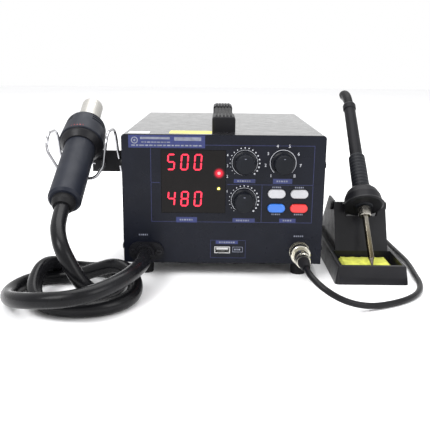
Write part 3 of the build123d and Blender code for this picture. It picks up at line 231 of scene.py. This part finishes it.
cover_paint = finish("cover_paint", (0.012, 0.012, 0.014), 0.22, vary=0.1, grain=1900, depth=0.00004,
                     coat=0.6)
panel_paint = finish("panel_paint", (0.007, 0.008, 0.012), 0.42, grain=1600, depth=0.00004)
film = finish("film", (0.005, 0.006, 0.011), 0.3, vary=0.1, grain=900, depth=0.000008, rough_vary=0.05)
window = finish("window", (0.003, 0.002, 0.002), 0.16, vary=0.2, grain=300, depth=0.000004)
black_plastic = finish("black_plastic", (0.008, 0.008, 0.010), 0.42, grain=2200, depth=0.00005)
knob_plastic = finish("knob_plastic", (0.006, 0.007, 0.010), 0.36, grain=2600, depth=0.00003)
rubber = finish("rubber", (0.008, 0.008, 0.009), 0.55, vary=0.25, grain=1500, depth=0.00006)
hose_rubber = finish("hose_rubber", (0.006, 0.006, 0.007), 0.25, vary=0.3, patch=30, grain=700, depth=0.00003,
                     rough_vary=0.09)
cord_rubber = finish("cord_rubber", (0.007, 0.007, 0.008), 0.32, vary=0.3, grain=1200, depth=0.00002)
grip_plastic = finish("grip_plastic", (0.011, 0.013, 0.020), 0.44, vary=0.1, grain=2400, depth=0.00004)
grey_plastic = finish("grey_plastic", (0.40, 0.40, 0.42), 0.36, vary=0.06, coat=0.2)
blue_plastic = finish("blue_plastic", (0.02, 0.13, 0.50), 0.34, vary=0.08, coat=0.2)
red_plastic = finish("red_plastic", (0.62, 0.02, 0.02), 0.34, vary=0.08, coat=0.2)
chrome = finish("chrome", (0.42, 0.42, 0.44), 0.14, 1.0, vary=0.06, grain=500, depth=0.00001, rough_vary=0.04)
nickel = finish("nickel", (0.62, 0.60, 0.52), 0.2, 1.0, vary=0.1, grain=900, depth=0.00002)
black_oxide = finish("black_oxide", (0.012, 0.012, 0.014), 0.35, vary=0.2, grain=1200, depth=0.00003)
bare_steel = finish("bare_steel", (0.5, 0.5, 0.5), 0.35, 1.0, grain=1200, depth=0.00003, stretch=(1, 0.05, 1))
aluminium = finish("aluminium", (0.6, 0.6, 0.62), 0.38, 1.0, grain=1300, depth=0.00003, stretch=(0.05, 1, 1))
core_iron = finish("core_iron", (0.14, 0.14, 0.16), 0.5, 0.6, vary=0.3, grain=1400, depth=0.0001,
                   stretch=(1, 0.02, 0.02))
board_green = finish("board_green", (0.015, 0.11, 0.04), 0.3, vary=0.2, patch=200, grain=500, depth=0.00005)
ceramic = finish("ceramic", (0.72, 0.69, 0.62), 0.6, vary=0.1, grain=1500, depth=0.00005)
stand_paint = finish("stand_paint", (0.011, 0.011, 0.013), 0.34, vary=0.15, grain=1700, depth=0.00006,
                     coat=0.1)
blue_ink = finish("blue_ink", (0.008, 0.016, 0.10), 0.4, vary=0.12, patch=180)
line_ink = finish("line_ink", (0.006, 0.011, 0.07), 0.4, vary=0.12, patch=180)
# White print, also used for the painted highlights round the knobs.
white_print_and_highlight = finish("white_print_and_highlight", (0.55, 0.56, 0.60), 0.45, vary=0.12, patch=250)
# Dim grey print, also used for the painted highlights on the knobs' top edges.
dim_print_and_highlight = finish("dim_print_and_highlight", (0.16, 0.17, 0.22), 0.45, vary=0.2, patch=250)
yellow_label = finish("yellow_label", (0.80, 0.72, 0.10), 0.4, vary=0.05)
white_label = finish("white_label", (0.8, 0.8, 0.8), 0.4, vary=0.04)
red_print = finish("red_print", (0.50, 0.02, 0.025), 0.4, vary=0.15, patch=300)
red_segment = glowing("red_segment", (0.80, 0.012, 0.045), 1.0)
red_lamp = glowing("red_lamp", (1.0, 0.10, 0.10), 3.5)
yellow_lamp = glowing("yellow_lamp", (0.85, 0.80, 0.15), 4.0)

nozzle_steel = finish("nozzle_steel", (0.40, 0.39, 0.365), 0.38, 0.6, vary=0.06, grain=900, depth=0.00002)
bump(nozzle_steel, ridges(nozzle_steel, along(nozzle_steel, HANDSET_DIR, HANDSET_RIM, 0.1), 18), 0.00012, 0.6)

barrel_steel = finish("barrel_steel", (0.7, 0.68, 0.64), 0.22, 1.0, grain=1200, depth=0.00002)
HEAT_TINTS = [(0.0, (0.05, 0.042, 0.032)), (0.14, (0.09, 0.075, 0.045)), (0.34, (0.14, 0.12, 0.075)),
              (0.6, (0.24, 0.22, 0.18)), (1.0, (0.42, 0.41, 0.39))]
barrel_steel.node_tree.links.new(
    ramp(barrel_steel, along(barrel_steel, IRON_DIR, IRON_TIP, 0.075), HEAT_TINTS),
    barrel_steel.node_tree.nodes["Principled BSDF"].inputs["Base Color"])

tip_metal = finish("tip_metal", (0.10, 0.085, 0.075), 0.4, 0.9, vary=0.4, patch=300, grain=1500,
                   depth=0.00005)

collar_rubber = finish("collar_rubber", (0.009, 0.010, 0.013), 0.5, vary=0.1, grain=1800, depth=0.00005)
bump(collar_rubber, ridges(collar_rubber, along(collar_rubber, IRON_DIR, IRON_TIP, 0.1), 26), 0.0003, 0.5)

sponge_foam = finish("sponge_foam", (0.55, 0.57, 0.085), 0.9, vary=0.2, patch=120, rough_vary=0.05)
bump(sponge_foam, noise(sponge_foam, 900.0, 5.0), 0.0006)

CAD_FINISHES = {
    cover_paint: "top_cover rear_panel bottom_tray", panel_paint: "front_panel", film: "front_overlay",
    window: "display_window", red_print: "led_displays", yellow_lamp: "indicator_lamps",
    board_green: "control_board", bare_steel: "potentiometers pump_arm_left pump_arm_right usb_port",
    knob_plastic: "air_temp_knob iron_temp_knob air_flow_knob", grey_plastic: "cool_button sleep_button",
    blue_plastic: "iron_power_button", red_plastic: "air_power_button",
    black_plastic: "handle_caps hose_gland mains_inlet fuse_drawer holder_cone iron_handle",
    rubber: "rubber_feet pump_mounts pump_bellows air_tube plug_boot iron_boot handset_boot",
    black_oxide: "machine_screws handset_collar", nickel: "iron_socket iron_plug plug_ring",
    chrome: "holder_wire",
    aluminium: "pump_base", core_iron: "pump_electromagnet transformer",
    stand_paint: "stand_base stand_upright holder_bracket",
    grip_plastic: "handset_grip handset_head", nozzle_steel: "handset_nozzle",
    ceramic: "handset_heater", tip_metal: "iron_tip", barrel_steel: "iron_barrel iron_nut",
    collar_rubber: "iron_collar",
}
for mat, names in CAD_FINISHES.items():
    for name in names.split():
        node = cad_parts[name]
        node.data.materials.clear()
        node.data.materials.append(mat)


# ======== making pieces ========
def piece(name, mesh, mat, body="root"):
    """A new object from a mesh, in its finish, that rides on a body."""
    thing = bpy.data.objects.new(name, mesh)
    bpy.context.scene.collection.objects.link(thing)
    mesh.materials.clear()
    mesh.materials.append(mat)
    if body:
        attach(thing, body)
    return thing


def smooth(mesh):
    """Shades a mesh smooth."""
    for face in mesh.polygons:
        face.use_smooth = True
    return mesh


floor_mesh = bpy.data.meshes.new("floor")
FLOOR_HALF = 4.0
FLOOR_CORNERS = [(x * FLOOR_HALF, y * FLOOR_HALF, 0) for x, y in ((-1, -1), (1, -1), (1, 1), (-1, 1))]
floor_mesh.from_pydata(FLOOR_CORNERS, [], [(0, 1, 2, 3)])
floor = piece("floor", floor_mesh, finish("floor", (0.93, 0.93, 0.94), 0.75, vary=0.01, patch=3), body=None)

PRINT_T = 0.06
PRINT_DEPTH = 0.04


def closed_mesh(name, verts, faces):
    """A mesh whose faces all point outwards."""
    mesh = bpy.data.meshes.new(name)
    mesh.from_pydata(verts, [], faces)
    shape = bmesh.new()
    shape.from_mesh(mesh)
    bmesh.ops.recalc_face_normals(shape, faces=shape.faces)
    shape.to_mesh(mesh)
    shape.free()
    return mesh


def prisms(name, outlines, mat, to_point, lift=PRINT_T, sink=PRINT_DEPTH, body="root"):
    """One mesh of thin prisms from flat outlines. to_point(u, v, height) puts a point in space."""
    verts = []
    faces = []
    for outline in outlines:
        count = len(outline)
        first = len(verts)
        verts += [to_point(u, v, lift) for u, v in outline]
        verts += [to_point(u, v, -sink) for u, v in outline]
        faces.append([first + i for i in range(count)])
        faces.append([first + count + i for i in reversed(range(count))])
        for i in range(count):
            j = (i + 1) % count
            faces.append([first + j, first + i, first + count + i, first + count + j])
    return piece(name, closed_mesh(name, verts, faces), mat, body)


def on_panel(x, z, height):
    """A point on the front panel, x across and z up, standing height proud of it."""
    return place(x, -height, z)


def rectangle(x0, z0, x1, z1):
    return [(x0, z0), (x1, z0), (x1, z1), (x0, z1)]


def outline_box(x0, z0, x1, z1, width):
    """Four strips that frame a rectangle."""
    return [rectangle(x0, z0, x1, z0 + width), rectangle(x0, z1 - width, x1, z1),
            rectangle(x0, z0 + width, x0 + width, z1 - width),
            rectangle(x1 - width, z0 + width, x1, z1 - width)]


def disc(x, z, radius, sides=16):
    return [(x + radius * cos(tau * i / sides), z + radius * sin(tau * i / sides)) for i in range(sides)]


def arc_strips(x, z, radius, width, start, stop, steps):
    """A ring arc as short strips, from start to stop degrees clockwise from the top."""
    strips = []
    for i in range(steps):
        a, b = (radians(start + (stop - start) * k / steps) for k in (i, i + 1))
        inner, outer = radius - width / 2, radius + width / 2
        strips.append([(x + inner * sin(a), z + inner * cos(a)), (x + outer * sin(a), z + outer * cos(a)),
                       (x + outer * sin(b), z + outer * cos(b)), (x + inner * sin(b), z + inner * cos(b))])
    return strips


# ======== the front panel's prints, and painted highlights round the knobs ===
KNOBS = {"air_temp": (19.5, 109.8), "iron_temp": (19.3, 74.7), "air_flow": (54.5, 110.0)}
PLATES = [(9.7, 91.0, 29.5, 94.6), (45.8, 90.6, 63.5, 95.2), (9.1, 53.3, 29.8, 57.3),
          (-43.6, 52.9, -24.2, 58.0), (52.9, 53.8, 68.1, 57.5), (-6.4, 32.2, 14.5, 35.3)]
LINE_W = 0.45

prisms("blue_plates", [rectangle(-86.8, 122.8, -17.0, 135.0 - 0.6)] + [rectangle(*plate) for plate in PLATES],
       blue_ink, on_panel)
lines = outline_box(-66.9, 53.3, 83.1, 125.9, LINE_W)
lines += [rectangle(3.5, 89.2, 83.1, 89.2 + LINE_W), rectangle(-66.9, 90.4, -58.5, 90.4 + LINE_W),
          rectangle(35.6, 53.3, 35.6 + LINE_W, 89.2)]
lines += outline_box(-11.5, 18.3, 21.8, 35.9, 0.35)
prisms("blue_lines", lines, line_ink, on_panel, lift=PRINT_T * 0.6)


def dashes(x0, x1, z0, z1, widths, gap):
    """A row of small bars that fills x0 to x1, with repeating relative widths, in place of lettering."""
    bars = []
    x = x0
    i = 0
    while x + widths[i % len(widths)] <= x1:
        bars.append(rectangle(x, z0, x + widths[i % len(widths)], z1))
        x += widths[i % len(widths)] + gap
        i += 1
    return bars


marks = arc_strips(-81.2, 129.6, 2.7, 0.9, 0, 360, 28) + [disc(-81.2, 129.6, 1.0)]
marks += [rectangle(-76, 130.6, -49, 132.6), rectangle(-45, 129.4, -20.5, 132.6)]
marks += dashes(-75, -47, 127.4, 128.4, (2.2, 1.4, 3.0), 0.8)
marks += dashes(-84, -19, 124.4, 125.6, (3.2, 2.0, 4.4, 2.6), 1.0)
for x0, z0, x1, z1 in PLATES:
    middle = (z0 + z1) / 2
    marks += dashes(x0 + 3.2, x1 - 3.0, middle - 0.75, middle + 0.75, (1.5, 1.1, 1.8, 1.3), 0.75)
prisms("plate_marks", marks, dim_print_and_highlight, on_panel, lift=PRINT_T * 1.6)

small_marks = []
for x, z in ((49.5, 87.2), (70.5, 87.2), (49.5, 61.6), (70.5, 61.6)):
    small_marks += dashes(x - 4.2, x + 4.6, z - 0.7, z + 0.7, (1.2, 0.9, 1.4), 0.6)
small_marks += dashes(-79, -68.4, 39.8, 41.2, (1.3, 0.8, 1.5), 0.7)
small_marks += dashes(67, 77, 39.8, 41.2, (1.4, 1.0, 1.2), 0.7)
small_marks += outline_box(9.5, 24.2, 19.2, 29.4, 0.4) + dashes(11, 18, 26, 27.6, (1.6, 1.2), 0.7)
prisms("small_marks", small_marks, dim_print_and_highlight, on_panel)

DOT_SPAN = 138
DOTS = 19
DOT_RING_R = 13.6
TEMP_RING_R = 11.7
FLOW_RING_R = 11.9
FLOW_NUMBER_R = 16.2
FLOW_NUMBERS = 8
dots = []
for knob in ("air_temp", "iron_temp"):
    x, z = KNOBS[knob]
    for i in range(DOTS):
        share = i / (DOTS - 1)
        angle = radians(-DOT_SPAN + 2 * DOT_SPAN * share)
        dots.append(disc(x + DOT_RING_R * sin(angle), z + DOT_RING_R * cos(angle), 0.32 + 0.55 * share, 12))
prisms("scale_dots", dots, white_print_and_highlight, on_panel)
# The white rings round the knobs are painted highlights: the lit edges of the knobs' skirts, laid on the panel
# in white.
rim_highlights = arc_strips(*KNOBS["air_flow"], FLOW_RING_R, 0.45, -DOT_SPAN, DOT_SPAN, 56)
for knob in ("air_temp", "iron_temp"):
    rim_highlights += arc_strips(*KNOBS[knob], TEMP_RING_R, 0.3, -100, 262, 60)
prisms("knob_rim_highlights", rim_highlights, white_print_and_highlight, on_panel)


def number(name, text, x, z, size):
    """A printed number on the front panel."""
    data = bpy.data.curves.new(name, "FONT")
    data.body = text
    data.size = size * MM
    data.extrude = PRINT_T * MM
    data.align_x = "CENTER"
    data.align_y = "CENTER"
    data.materials.append(white_print_and_highlight)
    thing = bpy.data.objects.new(name, data)
    bpy.context.scene.collection.objects.link(thing)
    thing.matrix_world = Matrix.Translation(on_panel(x, z, 0)) @ Matrix.Rotation(pi / 2, 4, "X")
    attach(thing, "root")


for i in range(FLOW_NUMBERS):
    angle = radians(-DOT_SPAN + i * 2 * DOT_SPAN / (FLOW_NUMBERS - 1))
    x, z = KNOBS["air_flow"]
    across, up = FLOW_NUMBER_R * sin(angle), FLOW_NUMBER_R * cos(angle)
    number("flow_number_%d" % (i + 1), str(i + 1), x + across, z + up, 4.0)
for i, z in enumerate((83.0, 97.0, 106.8, 116.6)):
    number("zone_number_%d" % (i + 1), str(i + 1), 3.6, z, 3.4)

# ======== the glowing digits and lamps ========
SEGMENTS = {"0": "abcdef", "4": "bcfg", "5": "acdfg", "8": "abcdefg"}
DIGIT_W = 7.4
DIGITS_X = -52.2
DIGIT_PITCH = 12.3
STROKE = 1.45
SLANT = 0.07
BREAK = 0.22


def segment(letter, height):
    """The outline of one bar of a seven-bar digit whose lower left corner is 0, 0."""
    w, h, t = DIGIT_W, height, STROKE / 2
    left, right, low, middle, high = t, w - t, t, h / 2, h - t
    ends = {"a": ((left, high), (right, high)), "b": ((right, middle), (right, high)),
            "c": ((right, low), (right, middle)), "d": ((left, low), (right, low)),
            "e": ((left, low), (left, middle)), "f": ((left, middle), (left, high)),
            "g": ((left, middle), (right, middle))}[letter]
    (x0, z0), (x1, z1) = ends
    if z0 == z1:
        x0, x1 = x0 + BREAK, x1 - BREAK
        points = [(x0, z0), (x0 + t, z0 + t), (x1 - t, z0 + t), (x1, z0), (x1 - t, z0 - t), (x0 + t, z0 - t)]
    else:
        z0, z1 = z0 + BREAK, z1 - BREAK
        points = [(x0, z0), (x0 - t, z0 + t), (x0 - t, z1 - t), (x0, z1), (x0 + t, z1 - t), (x0 + t, z0 + t)]
    return [(x + SLANT * z, z) for x, z in points]


bars = []
for text, base, height in (("500", 102.3, 15.2), ("480", 68.3, 14.6)):
    for i, character in enumerate(text):
        for letter in SEGMENTS[character]:
            bars.append([(x + DIGITS_X + DIGIT_PITCH * i, z + base) for x, z in segment(letter, height)])
prisms("digit_segments", bars, red_segment, on_panel, lift=0.05)


def halo(name, colour, strength, reach):
    """A dark glossy finish with a glow that fades out over reach metres from the middle of the piece."""
    mat = finish(name, (0.006, 0.003, 0.004), 0.16, vary=0.2, grain=300, depth=0.000004)
    nodes, links = mat.node_tree.nodes, mat.node_tree.links
    shader = nodes["Principled BSDF"]
    coords = nodes.new("ShaderNodeTexCoord")
    distance = nodes.new("ShaderNodeVectorMath")
    distance.operation = "LENGTH"
    links.new(coords.outputs["Object"], distance.inputs[0])
    fade = nodes.new("ShaderNodeMapRange")
    fade.interpolation_type = "SMOOTHERSTEP"
    fade.inputs["From Min"].default_value = 0.0
    fade.inputs["From Max"].default_value = reach
    fade.inputs["To Min"].default_value = strength
    fade.inputs["To Max"].default_value = 0.0
    links.new(distance.outputs["Value"], fade.inputs["Value"])
    shader.inputs["Emission Color"].default_value = (*colour, 1)
    links.new(fade.outputs["Result"], shader.inputs["Emission Strength"])
    return mat


def lamp(name, x, z, core, core_mat, halo_mat, reach):
    """A lit lamp behind the window: a bright core and its halo."""
    centre = on_panel(x, z, 0.02)
    spot = prisms(name + "_halo", [disc(0, 0, reach, 40)], halo_mat,
                  lambda u, v, height: Vector((u * MM, -height * MM, v * MM)), lift=0.02, body=None)
    spot.location = centre
    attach(spot, "root")
    prisms(name + "_core", [disc(x, z, core, 24)], core_mat, on_panel, lift=0.09)


lamp("air_lamp", -4.0, 99.8, 1.5, red_lamp, halo("red_halo", (1.0, 0.02, 0.05), 1.9, 0.0058), 5.8)
lamp("iron_lamp", -4.2, 85.4, 1.0, yellow_lamp, halo("yellow_halo", (0.7, 0.6, 0.05), 0.8, 0.0026), 2.6)

# ======== painted highlights on the knobs' top edges ===
for knob, (x, z) in KNOBS.items():
    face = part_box(knob + "_knob")[0].y

    def on_knob(u, v, height, x=x, z=z, face=face):
        return Vector(((x + u) * MM, face - height * MM, (z + v) * MM))

    # A short grey dash near each knob's top edge: a painted highlight where light catches the knob's rim.
    prisms(knob + "_top_highlight", [rectangle(-0.8, 5.35, 0.8, 5.85)], dim_print_and_highlight, on_knob, body=knob + "_knob")

# ======== stickers on the cover ========
COVER_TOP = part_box("top_cover")[1].z


def on_cover(x, back, height):
    """A point on the cover's top, x across and back from the panel, standing height proud of it."""
    return Vector((x * MM, FRONT_Y + back * MM, COVER_TOP + height * MM))


prisms("yellow_sticker", [rectangle(-50.5, 9.8, -11.2, 30.0)], yellow_label, on_cover, sink=0.02)
prisms("white_sticker", [rectangle(-88.0, 8.5, -69.0, 22.0)], white_label, on_cover, sink=0.02)


# ======== cords ========
def nurbs(name, points, radius):
    """A smooth curve object with those control points and a round section."""
    data = bpy.data.curves.new(name, "CURVE")
    data.dimensions = "3D"
    data.resolution_u = 8
    data.bevel_depth = radius
    data.bevel_resolution = 6
    data.use_fill_caps = True
    spline = data.splines.new("NURBS")
    spline.points.add(len(points) - 1)
    for control, point in zip(spline.points, points):
        control.co = (*point, 1)
    spline.order_u = 3
    spline.use_endpoint_u = True
    thing = bpy.data.objects.new(name, data)
    bpy.context.scene.collection.objects.link(thing)
    return thing


def tube(name, points, radius, mat):
    """A mesh tube along the smooth curve of those points. Gives the piece and the line it follows."""
    line = nurbs(name + "_line", points, 0)
    path = [vertex.co.copy() for vertex in bpy.data.meshes.new_from_object(line).vertices]
    bpy.data.objects.remove(line)
    source = nurbs(name + "_source", points, radius)
    mesh = smooth(bpy.data.meshes.new_from_object(source))
    bpy.data.objects.remove(source)
    mesh.name = name
    return piece(name, mesh, mat, body=None), path


HOSE_R = 6.6
HANDSET_LEN = 0.0892
HOSE_ROUTE = [place(*point) for point in (
    (-72, -3.2, 24.6), (-71.6, -23, 24.6), (-70, -43, 27), (-72, -62, 28.8), (-78, -81, 28),
    (-88, -98, 26.5), (-102, -112, 24.5), (-120, -119, 22.5), (-142, -116, 20), (-160, -106, 16),
    (-174, -90, 11), (-181, -72, 8), (-181, -54, 7), (-174.5, -38, 7), (-162, -27, 7),
    (-146, -24.5, 7), (-129, -27, 9.5), (-113, -30, 16), (-97, -34, 22), (-83, -42, 20),
    (-75, -55, 12), (-75, -71, 7.5), (-83, -87, 7), (-97, -98, 7), (-115, -102, 7),
    (-134, -99, 7), (-149, -90, 7.5), (-158, -76, 11), (-161, -58, 17), (-159, -41, 23),
    (-153, -25, 21), (-141, -14, 12.5), (-127, -6, 8), (-112, -4, 7.2), (-98, -13, 7),
    (-90.5, -29, 7), (-91, -47, 7), (-97, -63, 7.3), (-106, -76, 11), (-116, -83.2, 21),
    (-131, -79.8, 48), (-137, -68, 58.5), (-140.4, -53.8, 66.2))] + [HANDSET_RIM - HANDSET_DIR * HANDSET_LEN]

hose, hose_path = tube("air_hose", HOSE_ROUTE, HOSE_R * MM, hose_rubber)
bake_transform(hose)
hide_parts("hose", "hose_rise")

CORD_R = 2.75
CORD_Z = 2.85
COIL_X, COIL_Y = 170.0, 205.0
CORD_ROUTE = [place(*point) for point in (
    (72.5, -38.5, 26), (72.5, -56.5, 26), (75, -67, 23.8), (81, -76.5, 19.8), (90, -83, 14.8),
    (101, -85.5, 10), (113.5, -84, 6.2), (127, -79, 3.6), (141, -72.5, CORD_Z), (156, -64, CORD_Z),
    (169, -52, CORD_Z), (178, -37, CORD_Z), (183, -19, CORD_Z), (185, 2, CORD_Z), (187.5, 24, CORD_Z),
    (189, 48, CORD_Z), (187.7, 72, CORD_Z), (186.8, 96, CORD_Z), (186.3, 118, CORD_Z), (187, 139, CORD_Z),
    (190.5, 159, CORD_Z), (195.5, 177.5, CORD_Z))]
COIL_STAGES = [(-22, 31.6, CORD_Z), (8, 30.3, CORD_Z), (248, 30.3, CORD_Z), (328, 24.4, CORD_Z),
               (558, 24.4, CORD_Z), (618, 27.3, 8.5), (908, 27.3, 8.5), (958, 26.3, 12.8), (978, 25.4, 14.2)]
COIL_STEP = 30


def coil_point(angle):
    """A point of the coil at that many degrees along its turns, between the stages of radius and height."""
    for (a0, r0, z0), (a1, r1, z1) in zip(COIL_STAGES, COIL_STAGES[1:]):
        if angle <= a1:
            share = (angle - a0) / (a1 - a0)
            radius = (r0 + (r1 - r0) * share) / cos(radians(COIL_STEP) / 4)
            turn = radians(angle)
            return place(COIL_X + radius * cos(turn), COIL_Y + radius * sin(turn), z0 + (z1 - z0) * share)


COIL_POINTS = 33
COIL = [coil_point(COIL_STAGES[0][0] + COIL_STEP * i) for i in range(COIL_POINTS)]
RISE = [place(*point) for point in (
    (168, 180, 14.6), (178, 180.5, 17), (185, 182.5, 24), (187, 186, 34), (184, 189, 45), (178, 191.5, 57.5),
    (171.5, 192.5, 72), (166, 192.5, 88), (161.5, 192, 104), (157.5, 191, 120), (153.5, 189, 135),
    (149, 185, 148), (143.5, 178, 157.5))]
BOOT_FROM = 0.196
BOOT_BEND_R = 0.032
BOOT_TURN = radians(60)
CORD_LEAD = 0.011


def iron_heading(tilt):
    """The direction in the iron's upright plane that rises at tilt."""
    return Vector((-sin(IRON_YAW) * cos(tilt), cos(IRON_YAW) * cos(tilt), sin(tilt)))


boot_centre = IRON_TIP + IRON_DIR * BOOT_FROM + iron_heading(IRON_TILT - pi / 2) * BOOT_BEND_R
boot_end = boot_centre - iron_heading(IRON_TILT - BOOT_TURN - pi / 2) * BOOT_BEND_R
RISE += [boot_end + iron_heading(IRON_TILT - BOOT_TURN) * CORD_LEAD, boot_end]

iron_lead, iron_path = tube("iron_lead", CORD_ROUTE + COIL + RISE, CORD_R * MM, cord_rubber)
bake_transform(iron_lead)
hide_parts("iron_cord", "iron_cord_coil", "iron_cord_rise")

# ======== the strap handle, in two halves ==============================
STRAP_W = 19.4
STRAP_T = 4.6
RIBS = 5
STRAP_FRONT = 32.0
STRAP_BACK = 198.0
STRAP_MIDDLE = (STRAP_FRONT + STRAP_BACK) / 2
CAP_MOUTHS = (67.0, 163.0)
CAP_MIDDLES = (46.0, 184.0)
RIB_PITCH = 3.4
strap_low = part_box("handle_strap")[0].z


def strap_section():
    """The strap's section: flat below, with lengthwise ribs above, as (across, up) in mm."""
    low = [(-STRAP_W / 2 + 1, 0), (STRAP_W / 2 - 1, 0), (STRAP_W / 2, 1), (STRAP_W / 2, STRAP_T - 1.2)]
    top = []
    steps = RIBS * 8
    for i in range(steps + 1):
        across = (STRAP_W / 2 - 0.8) * (1 - 2 * i / steps)
        top.append((across, STRAP_T - 0.9 + 0.8 * abs(sin(pi * RIBS * i / steps))))
    return low + top + [(-STRAP_W / 2, STRAP_T - 1.2), (-STRAP_W / 2, 1)]


def strap_half(name, start, stop):
    """One half of the strap from start to stop back, sliced along its length."""
    section = strap_section()
    count = len(section)
    slices = 30
    verts = []
    for i in range(slices + 1):
        back = start + (stop - start) * i / slices
        verts += [Vector((u * MM, FRONT_Y + back * MM, strap_low + v * MM)) for u, v in section]
    faces = []
    for first in range(0, slices * count, count):
        for k in range(count):
            j = (k + 1) % count
            faces.append([first + k, first + j, first + count + j, first + count + k])
    faces += [list(range(count)), [slices * count + k for k in range(count)]]
    return piece(name, closed_mesh(name, verts, faces), rubber, body=None)


for name, end, mouth in (("front", STRAP_FRONT, CAP_MOUTHS[0]), ("rear", STRAP_BACK, CAP_MOUTHS[1])):
    half_strap = strap_half("strap_" + name, end, STRAP_MIDDLE)
    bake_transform(half_strap)
    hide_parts("handle_strap")

CAP_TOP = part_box("handle_caps")[1].z
ribs = []
for middle in CAP_MIDDLES:
    for i in range(RIBS):
        x = (i - (RIBS - 1) / 2) * RIB_PITCH
        ribs.append(rectangle(x - 0.9, middle - 17, x + 0.9, middle + 17))


def on_caps(x, back, height):
    """A point on the tops of the handle's caps, x across and back from the panel, height proud of them."""
    return Vector((x * MM, FRONT_Y + back * MM, CAP_TOP + height * MM))


prisms("cap_ribs", ribs, rubber, on_caps, lift=0.7, sink=0.3)

# ======== the handset's mark ========
MARK_R = 22.0
MARK_SLOPE = 2.0 / 22.8
MARK_START = 1.2


def on_head(distance, angle, height):
    """A point near the handset head's surface, distance mm from its near rim, angle degrees from its top."""
    radius = MARK_R - (distance - MARK_START) * MARK_SLOPE + height
    turn = radians(angle)
    return (HANDSET_RIM + HANDSET_DIR * distance * MM
            + (HANDSET_UP * cos(turn) + Vector((1, 0, 0)) * sin(turn)) * radius * MM)


triangle = []
ROWS = 6
for i in range(ROWS):
    low, high = (3.0 + 8.5 * k / ROWS for k in (i, i + 1))
    w0, w1 = (16.0 * (1 - k / ROWS) + 0.3 for k in (i, i + 1))
    for k in range(4):
        a, b = (-1 + 2 * n / 4 for n in (k, k + 1))
        triangle.append([(low, a * w0 - 4), (low, b * w0 - 4), (high, b * w1 - 4), (high, a * w1 - 4)])
prisms("handset_mark", triangle, red_print, on_head, lift=0.08, body="handset")

# ======== the sponge ========
sponge_low, sponge_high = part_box("stand_sponge")


def cushion(name, low, high, mat):
    """A block of foam between two corners, softly rounded, uneven on top and with a shallow hollow in it."""
    shape = bmesh.new()
    bmesh.ops.create_cube(shape, size=1.0)
    centre, size = (low + high) / 2, high - low
    for vert in shape.verts:
        vert.co = Vector([centre[k] + vert.co[k] * size[k] for k in range(3)])
    bmesh.ops.bevel(shape, geom=shape.edges[:], offset=0.0014, segments=3, affect="EDGES")
    bmesh.ops.subdivide_edges(shape, edges=[e for e in shape.edges if e.calc_length() > 0.01], cuts=22,
                              use_grid_fill=True)
    for vert in shape.verts:
        share = (vert.co.z - low.z) / size.z
        x, y = vert.co.x, vert.co.y
        wave = sin(x * 610 + 1.3) * sin(y * 540) + 0.6 * sin(x * 1900 + y * 1500)
        vert.co.z += 0.00022 * wave * share - 0.0003 * share
        hollow = max(0.0, 1 - ((x - centre.x) / 0.004) ** 2 - ((y - centre.y - 0.004) / 0.009) ** 2)
        vert.co.z -= 0.003 * share * hollow ** 0.5
    mesh = bpy.data.meshes.new(name)
    shape.to_mesh(mesh)
    shape.free()
    return piece(name, smooth(mesh), mat)


sponge = cushion("wiping_sponge", sponge_low, sponge_high, sponge_foam)
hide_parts("stand_sponge")
